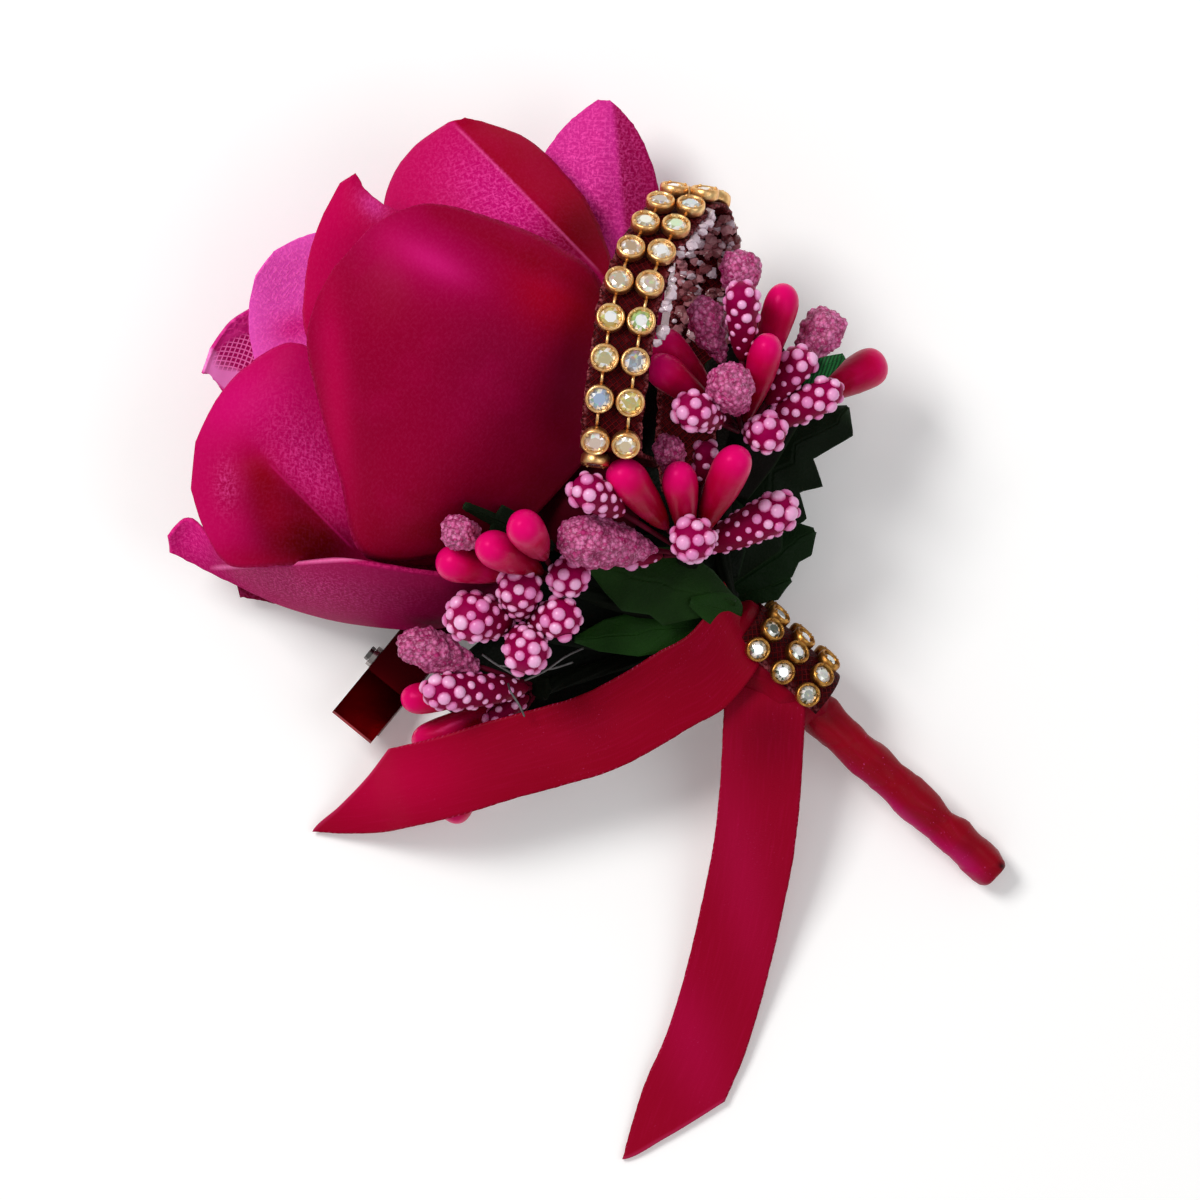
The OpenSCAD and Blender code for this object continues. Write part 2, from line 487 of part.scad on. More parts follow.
module spray_b_sugared() { color("#b03a70") berries(KNOB_B, B_SUGARED); }
module spray_c_stem() { color("#27351a") spray_stem(KNOB_C, FOOT_C); }
module spray_c_smooth() { color("#c80f50") berries(KNOB_C, on_rose(C_SMOOTH)); }
module spray_c_dotted() { color("#a81850") berries(KNOB_C, C_DOTTED); }
module spray_c_sugared() { color("#b03a70") berries(KNOB_C, on_rose(C_SUGARED)); }
module spray_d_stem() { color("#27351a") spray_stem(KNOB_D, FOOT_D); }
module spray_d_smooth() { color("#c80f50") berries(KNOB_D, D_SMOOTH); }
module spray_d_dotted() { color("#a81850") berries(KNOB_D, D_DOTTED); }
module spray_d_sugared() { color("#b03a70") berries(KNOB_D, D_SUGARED); }
module spray_e_stem() { color("#27351a") spray_stem(KNOB_E, FOOT_E); }
module spray_e_dotted() { color("#a81850") berries(KNOB_E, E_DOTTED); }

// Leaves: pointed ovals with teeth, folded a little along the rib
leaf_across = 4;
function leaf_point(leaf, t, v) =
    let (root = leaf[col_root], tip = leaf[col_tip], flat = unit([tip.x - root.x, tip.y - root.y, 0]),
        right = [flat.y, -flat.x, 0],
        saw = (t * (leaf[col_teeth] + 0.5)) % 1,
        tooth = (t < 0.08 || t > 0.95) ? 0 : leaf_tooth * (saw - 0.5) * abs(v),
        full = pow(max(0, sin(180 * pow(t, leaf[col_full]))), 0.8),
        half = leaf[col_half] * (0.12 + 0.88 * full) * (t > 0.999 ? 0.25 : 1))
    root + t * (tip - root) + v * max(0.3, half + tooth) * right
        + [0, 0, leaf[col_bow] * sin(180 * t) - leaf[col_fold] * abs(v)];
module leaf(l) {
    along = 4 * (l[col_teeth] + 1);
    grid = [for (i = [0:along]) for (j = [0:leaf_across])
        let (p = leaf_point(l, i / along, 2 * j / leaf_across - 1))
        [p + [0, 0, leaf_wall / 2], p - [0, 0, leaf_wall / 2]]];
    sheet_solid([for (g = grid) g[0]], [for (g = grid) g[1]], leaf_across);
}
module leaf_right_upper() { color("#102010") leaf(LEAF_RIGHT_UPPER); }
module leaf_right_middle() { color("#10260a") leaf(LEAF_RIGHT_MIDDLE); }
module leaf_right_lower() { color("#10260a") leaf(LEAF_RIGHT_LOWER); }
module leaf_light() { color("#1e4010") leaf(LEAF_LIGHT); }
module leaf_left_tip() { color("#163808") leaf(LEAF_LEFT_TIP); }
module leaf_under_tail() { color("#081004") leaf(LEAF_UNDER_TAIL); }
module leaf_behind() { color("#081004") leaf(LEAF_BEHIND); }
module leaf_small() { color("#081004") leaf(LEAF_SMALL); }

// Stone band: points spaced evenly along its middle line
band_steps = 160;
band_line = [for (i = [0:band_steps]) track(BAND, i / band_steps)];
band_runs = [for (i = 0, s = 0; i <= band_steps;
    s = s + (i < band_steps ? norm(band_line[i + 1] - band_line[i]) : 0), i = i + 1) s];
band_l = band_runs[band_steps];
function band_t(s) =
    let (i = min(band_steps - 1, len([for (r = band_runs) if (r <= s) r]) - 1),
        f = (s - band_runs[i]) / (band_runs[i + 1] - band_runs[i]))
    (i + f) / band_steps;
function band_along(t) = unit(track(BAND, min(1, t + nudge)) - track(BAND, max(0, t - nudge)));
function band_out(t) = unit(cross(unit(BAND_SIDE), band_along(t)));
band_segments = 44;
module band_strip() {
    grid = [for (i = [0:band_segments]) for (v = [1, -1])
        let (t = band_t(band_l * i / band_segments * 0.9999), p = track(BAND, t), n = band_out(t),
            side = unit(BAND_SIDE))
        [p - v * band_w / 2 * side + n * band_wall / 2, p - v * band_w / 2 * side - n * band_wall / 2]];
    color("#6e1f2c") sheet_solid([for (g = grid) g[0]], [for (g = grid) g[1]], 1);
}
// Seat of a cup: its middle on the strip and the direction that the stone faces
seat_clear = 0.1;
first_row = 16.8;
rows_n = floor((band_l - first_row - 8) / cup_pitch);
band_seats = [for (k = [0:rows_n]) for (v = [-1, 1])
    let (t = band_t(first_row + k * cup_pitch), n = band_out(t))
    [track(BAND, t) + v * cup_gap / 2 * unit(BAND_SIDE) + n * (band_wall / 2 + seat_clear), n]];
// A cup with a recess for its stone, and the stone: a girdle, a crown of facets and a flat table
module cup(d, h) {
    difference() {
        cylinder(d = d, h = h, $fn = 24);
        translate([0, 0, h * 0.45]) cylinder(d = d * 0.76, h = h, $fn = 24);
    }
}
module stone(d, h) {
    translate([0, 0, h * 0.45 + seat_clear]) {
        cylinder(d = d * 0.7, h = h * 0.35, $fn = 8);
        translate([0, 0, h * 0.35]) cylinder(d1 = d * 0.7, d2 = d * 0.4, h = h * 0.35, $fn = 8);
    }
}
module at_seats(seats) {
    for (s = seats) aim(s[0], s[0] + s[1]) children();
}
module band_cups() { color("#c9974a") at_seats(band_seats) cup(cup_d, cup_h); }
module band_stones() { color("#e8f0e8") at_seats(band_seats) stone(cup_d, cup_h); }

// Cups round the binding: three rows along it and four round its right side
crystal_from = 25.6;
crystal_angles = [8, 39, 70, 102];
crystal_h = 1.3;
binding_seats = [for (k = [0:2]) for (a = crystal_angles)
    let (d = crystal_from + k * crystal_pitch, out = sin(a) * stem_side + cos(a) * stem_up,
        r = binding_r + seat_clear)
    [on_stem(d) + out * r, out]];
module binding_cups() { color("#b98840") at_seats(binding_seats) cup(crystal_d, crystal_h); }
module binding_stones() { color("#e8f0e8") at_seats(binding_seats) stone(crystal_d, crystal_h); }

// Clip, drawn along X from its finger end to its jaws, about the middle of the lever
clip_turn = 50.7;
pin_x = hinge_x - clip_l / 2;
pin_z = clip_h / 2;
ear_in = clip_w / 2 - clip_t;
ear_out = clip_w / 2 + 0.1;
ear_r = 1.3;
jaw_gap = 0.2;
module in_clip() { rotate([0, 0, clip_turn]) children(); }
module clip_strip() {
    tab_l = hinge_x - 1.5;
    tab_turn = atan(tab_rise / tab_l);
    color("#3a0308") in_clip() difference() {
        union() {
            translate([pin_x - 1.5, -clip_w / 2, clip_h - clip_t])
                cube([clip_l / 2 - pin_x + 1.5, clip_w, clip_t]);
            translate([pin_x - 1.5, 0, clip_h]) rotate([0, tab_turn, 0])
                translate([-tab_l / cos(tab_turn) + clip_t * sin(tab_turn), -clip_w / 2, -clip_t])
                    cube([tab_l / cos(tab_turn), clip_w, clip_t]);
            for (side = [-1, 1]) strip_ear(side);
        }
        translate([pin_x, 0, pin_z]) rotate([90, 0, 0])
            cylinder(d = pin_d + 2 * pin_play, h = clip_w + 2, center = true, $fn = 32);
    }
}
module strip_ear(side) {
    translate([pin_x, side * (ear_in - clip_t / 2), pin_z]) {
        rotate([90, 0, 0]) cylinder(r = ear_r, h = clip_t, center = true, $fn = 32);
        translate([-ear_r, -clip_t / 2, 0]) cube([2 * ear_r, clip_t, clip_h - clip_t / 2 - pin_z]);
    }
}
// Teeth of the jaws: width of one tooth along the lever's front edge
tooth_w = 1.1;
module clip_lever() {
    jaw_x = clip_l / 2 - clip_t;
    jaw_top = clip_h - clip_t - jaw_gap;
    color("#b8b4b0") in_clip() difference() {
        union() {
            translate([-clip_l / 2 + 1, -ear_out, 0]) cube([clip_l - 1, 2 * ear_out, clip_t]);
            translate([jaw_x, -ear_out, 0]) cube([clip_t, 2 * ear_out, jaw_top]);
            for (side = [-1, 1]) lever_ear(side);
        }
        for (k = [-2:2]) translate([jaw_x - 1, k * tooth_w * 1.1 - tooth_w / 4, jaw_top - 0.6])
            cube([clip_t + 2, tooth_w / 2, 1]);
        translate([pin_x, 0, pin_z]) rotate([90, 0, 0])
            cylinder(d = pin_d + 2 * lever_play, h = 3 * clip_w, center = true, $fn = 32);
    }
}
lever_play = 0.02;
module lever_ear(side) {
    translate([pin_x, side * (ear_out + clip_t / 2 - 0.01), 0]) {
        translate([0, 0, pin_z]) rotate([90, 0, 0]) cylinder(r = ear_r, h = clip_t, center = true, $fn = 32);
        translate([-ear_r, -clip_t / 2, 0]) cube([2 * ear_r, clip_t, pin_z]);
    }
}
pin_head = 0.5;
module clip_pin() {
    half = ear_out + clip_t + 0.05;
    color("#8e8a86") in_clip() translate([pin_x, 0, pin_z]) rotate([90, 0, 0]) {
        cylinder(d = pin_d, h = 2 * half + pin_head, center = true, $fn = 32);
        for (side = [-1, 1]) translate([0, 0, side * (half + pin_head / 2)])
            cylinder(d = pin_d + 0.6, h = pin_head, center = true, $fn = 32);
    }
}
// Spring: a coil of wire round the pin with a short leg towards the jaws at each end
wire_d = 0.4;
coil_r = 1.05;
coil_turns = 4;
coil_w = 2 * (ear_in - clip_t) - 2 * wire_d;
coil_steps = 12;
wire_sides = 6;
module clip_spring() {
    n = coil_turns * coil_steps;
    rings = [for (k = [0:n]) let (a = 90 + 360 * k / coil_steps, y = coil_w * (k / n - 0.5))
        [for (q = [0:wire_sides - 1]) let (b = 360 * q / wire_sides, r = coil_r + wire_d / 2 * cos(b))
            [pin_x + r * cos(a), y + wire_d / 2 * sin(b), pin_z + r * sin(a)]]];
    m = wire_sides;
    skin = [for (k = [0:n - 1]) for (q = [0:m - 1])
        let (a = k * m + q, b = k * m + (q + 1) % m) each [[a, b + m, b], [a, a + m, b + m]]];
    color("#9a9692") in_clip()
        polyhedron([for (ring = rings) each ring],
            concat(skin, [[for (q = [0:m - 1]) q]], [[for (q = [m - 1:-1:0]) n * m + q]]), convexity = 10);
}
// Pad of glue between the clip's strip and the rose's base
pad_at = [7.2, 8.4];
pad_top = 7.1;
module glue_pad() {
    color("#d8d0c0") translate([pad_at.x, pad_at.y, clip_h + seat_clear])
        cylinder(r1 = 2.7, r2 = 2, h = pad_top - clip_h - seat_clear, $fn = 24);
}

petal_front();
petal_pointed();
petal_top();
petal_right();
petal_round();
petal_folded();
petal_left();
petal_bottom();
petal_under();
petal_back_left();
petal_back_middle();
petal_back_right();
petal_bud_upper();
petal_bud_lower();
rose_heart();
rose_base();
stem_core();
binding();
wrapped_stem();
ribbon_tail_left();
ribbon_tail_down();
spray_a_stem();
spray_a_smooth();
spray_a_dotted();
spray_a_sugared();
spray_b_stem();
spray_b_smooth();
spray_b_dotted();
spray_b_sugared();
spray_c_stem();
spray_c_smooth();
spray_c_dotted();
spray_c_sugared();
spray_d_stem();
spray_d_smooth();
spray_d_dotted();
spray_d_sugared();
spray_e_stem();
spray_e_dotted();
leaf_right_upper();
leaf_right_middle();
leaf_right_lower();
leaf_light();
leaf_left_tip();
leaf_under_tail();
leaf_behind();
leaf_small();
band_strip();
band_cups();
band_stones();
binding_cups();
binding_stones();
clip_strip();
clip_lever();
clip_pin();
clip_spring();
glue_pad();
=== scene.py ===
import math
import random
import bpy
import bmesh
from mathutils import Matrix, Vector, noise


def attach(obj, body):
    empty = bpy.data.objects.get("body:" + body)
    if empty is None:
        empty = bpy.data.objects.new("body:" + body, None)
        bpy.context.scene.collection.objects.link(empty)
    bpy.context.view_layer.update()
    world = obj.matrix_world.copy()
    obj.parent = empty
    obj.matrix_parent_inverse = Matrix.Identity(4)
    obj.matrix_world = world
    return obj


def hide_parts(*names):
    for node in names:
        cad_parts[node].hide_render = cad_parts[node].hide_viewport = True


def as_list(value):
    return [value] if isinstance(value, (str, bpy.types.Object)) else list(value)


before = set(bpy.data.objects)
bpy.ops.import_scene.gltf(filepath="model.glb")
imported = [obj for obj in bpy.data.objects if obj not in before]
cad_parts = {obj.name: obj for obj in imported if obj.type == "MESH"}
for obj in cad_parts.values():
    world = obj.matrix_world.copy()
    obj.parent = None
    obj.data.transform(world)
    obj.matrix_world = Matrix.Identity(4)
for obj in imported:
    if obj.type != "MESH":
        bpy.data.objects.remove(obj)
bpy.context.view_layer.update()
mm = 0.001
print("frame loaded")

# The photograph looks straight down on the pin. Pixels are those of the 1200 by 1200 picture.
photo = {
    "pixelsPerMm": 8.5,   # at the height of the table
    "middle": 600,
    "eyeX": 17.96,
    "eyeY": 1.38,
    "eyeHigh": 1000.0,
    "sensor": 36.0,
    "nearest": 0.05,      # what the camera sees, in metres
    "farthest": 20,
}


def fromPhoto(px, py, high):  # where a pixel lies at a height above the table, in mm
    scale = photo["pixelsPerMm"] * photo["eyeHigh"] / (photo["eyeHigh"] - high)
    return Vector((photo["eyeX"] + (px - photo["middle"]) / scale,
                   photo["eyeY"] + (photo["middle"] - py) / scale, high))


def makeCamera():
    data = bpy.data.cameras.new("camera")
    data.sensor_width = photo["sensor"]
    data.lens = photo["sensor"] * photo["eyeHigh"] * photo["pixelsPerMm"] / (2 * photo["middle"])
    data.clip_start, data.clip_end = photo["nearest"], photo["farthest"]
    camera = bpy.data.objects.new("camera", data)
    camera.location = Vector((photo["eyeX"], photo["eyeY"], photo["eyeHigh"])) * mm
    bpy.context.collection.objects.link(camera)
    bpy.context.scene.camera = camera


makeCamera()


# ---- tools for the materials

def dye(red, green, blue):  # a colour as a paint program gives it, 0 to 255
    def linear(c):
        c /= 255
        return c / 12.92 if c <= 0.04045 else ((c + 0.055) / 1.055) ** 2.4
    return (linear(red), linear(green), linear(blue), 1)


class Signal:  # wraps a socket, so that shader maths is written as it is in Python
    def __init__(self, finish, socket):
        self.finish, self.socket = finish, socket

    def maths(self, operation, *others):
        return self.finish.node("Math", {"operation": operation}, dict(enumerate((self, *others))))

    def __add__(self, other): return self.maths("ADD", other)
    def __mul__(self, other): return self.maths("MULTIPLY", other)
    def __sub__(self, other): return self.maths("SUBTRACT", other)
    def __truediv__(self, other): return self.maths("DIVIDE", other)
    def __abs__(self): return self.maths("ABSOLUTE")
    def __rsub__(self, other): return self * -1 + other
    __radd__, __rmul__ = __add__, __mul__

    def sine(self): return self.maths("SINE")
    def most(self, other): return self.maths("MAXIMUM", other)
    def least(self, other): return self.maths("MINIMUM", other)
    def raised(self): return self.maths("EXPONENT")
    def clamped(self): return self.most(0).least(1)
    def step(self, low, high): return ((self - low) / (high - low)).clamped()


class Finish:  # a material and what builds its nodes
    def __init__(self, name, fixed):
        self.material = bpy.data.materials.new(name)
        self.material.use_nodes = True
        self.tree = self.material.node_tree
        self.shader = self.tree.nodes["Principled BSDF"]
        for socket, value in fixed.items():
            self.shader.inputs[socket].default_value = value
        self.kept = {}

    def join(self, socket, value):
        if isinstance(value, Signal):
            self.tree.links.new(value.socket, socket)
        else:
            socket.default_value = value

    def node(self, kind, settings=None, sockets=None, out=0):
        made = self.tree.nodes.new("ShaderNode" + kind)
        for key, value in (settings or {}).items():
            setattr(made, key, value)
        for key, value in (sockets or {}).items():
            self.join(made.inputs[key], value)
        return Signal(self, made.outputs[out])

    def feed(self, socket, value):
        self.join(self.shader.inputs[socket], value)

    def parts(self, vector):
        split = self.node("SeparateXYZ", {}, {0: vector})
        return [Signal(self, out) for out in split.socket.node.outputs]

    def place(self):  # the point on the piece, in mm
        if "point" not in self.kept:
            point = self.node("TexCoord", out="Object")
            self.kept["point"] = self.node("VectorMath", {"operation": "SCALE"}, {0: point, "Scale": 1 / mm})
        return self.kept["point"]

    def map(self, name):
        if name not in self.kept:
            self.kept[name] = self.node("UVMap", {"uv_map": name})
        return self.kept[name]

    def noise(self, where, size, detail=2.0, rough=0.5):
        return self.node("TexNoise", {}, {"Vector": where, "Scale": 1 / size, "Detail": detail,
                                          "Roughness": rough})

    def cells(self, where, size, out="Distance"):
        return self.node("TexVoronoi", {}, {"Vector": where, "Scale": 1 / size}, out)

    def stretched(self, where, x, y):
        return self.node("VectorMath", {"operation": "MULTIPLY"}, {0: where, 1: (x, y, 1)})

    def mix(self, factor, first, second, blend="MIX"):
        return self.node("Mix", {"data_type": "RGBA", "blend_type": blend},
                         {0: factor, 6: first, 7: second}, 2)

    def own(self, name):  # a value kept on the mesh
        return self.node("Attribute", {"attribute_name": name}, {}, "Fac")

    def relief(self, height, depth):  # depth in mm
        self.feed("Normal", self.node("Bump", {}, {"Height": height, "Distance": depth * mm, "Strength": 1}))

    # A stroke is a kind, where it lies in the photograph, its softness, and for paint its colour and
    # strength. A spot has a middle, two half sizes and a turn. A line runs between two points and has a
    # half width. One beside a line fills all to the left of it, or what a last spot leaves of that.
    def brushMask(self, stroke, high):  # 1 inside a stroke, 0 away from it
        x, y = self.parts(self.place())[:2]
        kind = stroke[0]
        if kind == "spot":
            at, size, turn = stroke[1:4]
            middle = fromPhoto(*at, high)
            c, s = math.cos(math.radians(turn)), math.sin(math.radians(turn))
            wide, tall = (part / photo["pixelsPerMm"] for part in size)
            dx, dy = x - middle.x, y - middle.y
            a, b = (dx * c + dy * s) / wide, (dy * c - dx * s) / tall
            return ((a * a + b * b) * -1.7).raised()
        first, second, soft = stroke[1:4]
        soft /= photo["pixelsPerMm"]
        a, b = fromPhoto(*first, high), fromPhoto(*second, high)
        run = (b - a).normalized()
        off = (y - a.y) * run.x - (x - a.x) * run.y
        if kind == "line":
            share = ((x - a.x) * run.x + (y - a.y) * run.y) / (b - a).length
            return (1 - abs(off) / soft).clamped() * (share * (1 - share) * 16).clamped()
        return (off / soft + 0.5).clamped()

    def boundMask(self, stroke, high):
        mask = self.brushMask(stroke, high)
        return mask * self.brushMask(("spot", *stroke[6]), high) if len(stroke) > 6 else mask

    # Lays strokes of painted highlight, painted shade and painted reflection over a base colour.
    def painted(self, base, strokes, high):  # high is about where the piece lies above the table, in mm
        colour = base
        for stroke in strokes:
            colour = self.mix(self.boundMask(stroke, high) * stroke[5], colour, dye(*stroke[4]))
        return colour

    def woven(self, threads, pitch):  # 0 to 1 over crossing threads, with streaks as in real yarn
        u, v = self.parts(threads)[:2]
        grid = (u * (math.pi / pitch)).sine() * (v * (math.pi / pitch)).sine() * 0.5 + 0.5
        grain = self.noise(self.stretched(threads, 1, 0.5), pitch * 0.8, 1.5, 0.6)
        cross = self.noise(self.stretched(threads, 0.5, 1), pitch * 0.8, 1.5, 0.6)
        return ((grain.most(cross) - 0.48) * 5.5 * (0.6 + grid * 0.4)).clamped()

    def netted(self, threads, pitch, thin):  # 1 on the threads of an open net
        first, second = ((part * (math.pi / pitch)).sine() for part in self.parts(threads)[:2])
        return 1 - abs(first).least(abs(second)).step(thin * 0.5, thin)


def cloudFinish(name, first, second, size, detail, relief, fixed):  # two dyes in soft clouds
    finish = Finish(name, fixed)
    cloud = finish.noise(finish.place(), size, detail)
    finish.feed("Base Color", finish.mix(cloud, dye(*first), dye(*second)))
    if relief:
        finish.relief(cloud, relief)
    return finish


# ---- tools for the shapes

def bend(a, b, c, d, f):  # runs through b and c
    return b + 0.5 * f * (c - a + f * (2 * a - 5 * b + 4 * c - d + f * (3 * (b - c) + d - a)))


def track(rows, t):  # a row between the rows of a table, or a point of a line
    s = t * (len(rows) - 1)
    i = min(int(s), len(rows) - 2)
    near = [rows[max(0, min(len(rows) - 1, k))] for k in (i - 1, i, i + 1, i + 2)]
    return [bend(*column, s - i) for column in zip(*near)]


def arch(left, middle, right, v):
    return middle + (right - left) / 2 * v + ((left + right) / 2 - middle) * v * v


def between(table, t):  # straight lines between (place, value) pairs
    for (a, va), (b, vb) in zip(table, table[1:]):
        if t <= b:
            return va + (vb - va) * max(0, t - a) / (b - a)
    return table[-1][1]


def onto(start, end):  # puts what is drawn along +Z onto the line from one point towards another
    run = Vector(end) - Vector(start)
    return Matrix.Translation(Vector(start)) @ run.to_track_quat("Z", "Y").to_matrix().to_4x4()


def addPiece(name, bm, finishes, nodes, slot, smooth=True, thick=None):
    bmesh.ops.scale(bm, vec=(mm, mm, mm), verts=bm.verts)
    mesh = bpy.data.meshes.new(name)
    bm.to_mesh(mesh)
    bm.free()
    for finish in finishes:
        mesh.materials.append(finish.material)
    if smooth:
        mesh.shade_smooth()
    piece = bpy.data.objects.new(name, mesh)
    bpy.context.collection.objects.link(piece)
    if thick:
        wall = piece.modifiers.new("wall", "SOLIDIFY")
        wall.thickness, wall.offset = thick * mm, 0
    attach(piece, "flower")
    if nodes:
        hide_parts(*nodes)
    return piece


cloth = {
    "steps": 60,       # lengths that a sheet's middle is measured in
    "rows": 12,        # widths that are measured
    "trimWide": 1.08,  # the flat blank's size over that of the cut piece
    "trimLong": 1.04,
    "narrowest": 0.01,  # width of the narrowest blank, in metres
}


def clothGrid(across, along, shape):  # a sheet bent to shape(t, v), with its own thread lengths in mm
    bm = bmesh.new()
    place = bm.loops.layers.uv.new("place")
    threads = bm.loops.layers.uv.new("threads")
    bmesh.ops.create_grid(bm, x_segments=across, y_segments=along, size=1)
    runs, last = [0], shape(0, 0)
    steps, rows = cloth["steps"], cloth["rows"]
    for k in range(1, steps + 1):
        here = shape(k / steps, 0)
        runs.append(runs[-1] + (here - last).length)
        last = here
    spots = {}
    for vert in bm.verts:
        v, t = vert.co.x, (vert.co.y + 1) / 2
        here = shape(t, v)
        aside = math.copysign((here - shape(t, 0)).length, v)
        k = min(int(t * steps), steps - 1)
        down = runs[k] + (runs[k + 1] - runs[k]) * (t * steps - k)
        spots[vert.index] = (v, t, aside, down)
        vert.co = here
    for face in bm.faces:
        for loop in face.loops:
            v, t, aside, down = spots[loop.vert.index]
            loop[place].uv = ((v + 1) / 2, t)
            loop[threads].uv = (aside, down)
    places = [k / rows for k in range(rows + 1)]
    wide = max((shape(t, 1) - shape(t, 0)).length + (shape(t, 0) - shape(t, -1)).length for t in places)
    return bm, wide, runs[-1]


def layCloth(area, wide, long):
    wide, long = wide * cloth["trimWide"] * mm, long * cloth["trimLong"] * mm
    if wide >= cloth["narrowest"]:
        min(area, wide * long * 0.98)


def areaOf(bm):
    return sum(face.calc_area() for face in bm.faces) * mm * mm


def turned(bm, outline, steps):  # a solid of revolution about Z from (radius, height) pairs
    line = [bm.verts.new((r, 0, z)) for r, z in outline]
    edges = [bm.edges.new(pair) for pair in zip(line, line[1:])]
    bmesh.ops.spin(bm, geom=line + edges, cent=(0, 0, 0), axis=(0, 0, 1), angle=2 * math.pi,
                   steps=steps, use_merge=True, use_duplicate=False)
    bmesh.ops.remove_doubles(bm, verts=bm.verts, dist=1e-4)
    bmesh.ops.recalc_face_normals(bm, faces=bm.faces)


def closed(bm):  # the two long sides of a sheet sewn together, and its ends filled
    bmesh.ops.remove_doubles(bm, verts=bm.verts, dist=1e-4)
    bmesh.ops.holes_fill(bm, edges=[edge for edge in bm.edges if edge.is_boundary], sides=0)
    bmesh.ops.recalc_face_normals(bm, faces=bm.faces)
    return bm


def templateFrom(bm, name):
    mesh = bpy.data.meshes.new(name)
    bm.to_mesh(mesh)
    bm.free()
    return mesh


def pour(part, bm):  # all of one shape into another
    mesh = templateFrom(part, "part")
    bm.from_mesh(mesh)
    bpy.data.meshes.remove(mesh)


def stamp(bm, mesh, matrix, marks=None):  # one more copy of a small shape, with its own values
    copy = mesh.copy()
    copy.transform(matrix)
    for name, (kind, domain, values) in (marks or {}).items():
        mark = copy.attributes.get(name) or copy.attributes.new(name, kind, domain)
        for spot in mark.data:
            value = values()
            if kind == "FLOAT":
                spot.value = value
            else:
                spot.color = value
    bm.from_mesh(copy)
    bpy.data.meshes.remove(copy)


# ---- rose

rose = {
    "base": (16.2, 12.6, 15),   # middle of the ball that the petals are glued round
    "reach": 47.6,
    "half": 22,
    "depth": 38,
    "wall": 0.5,
    "cells": (44, 54),          # across and along a petal
    "flutter": 0.22,            # unevenness of the cut edge, in mm
    "sag": 0.16,                # unevenness of the cloth
}
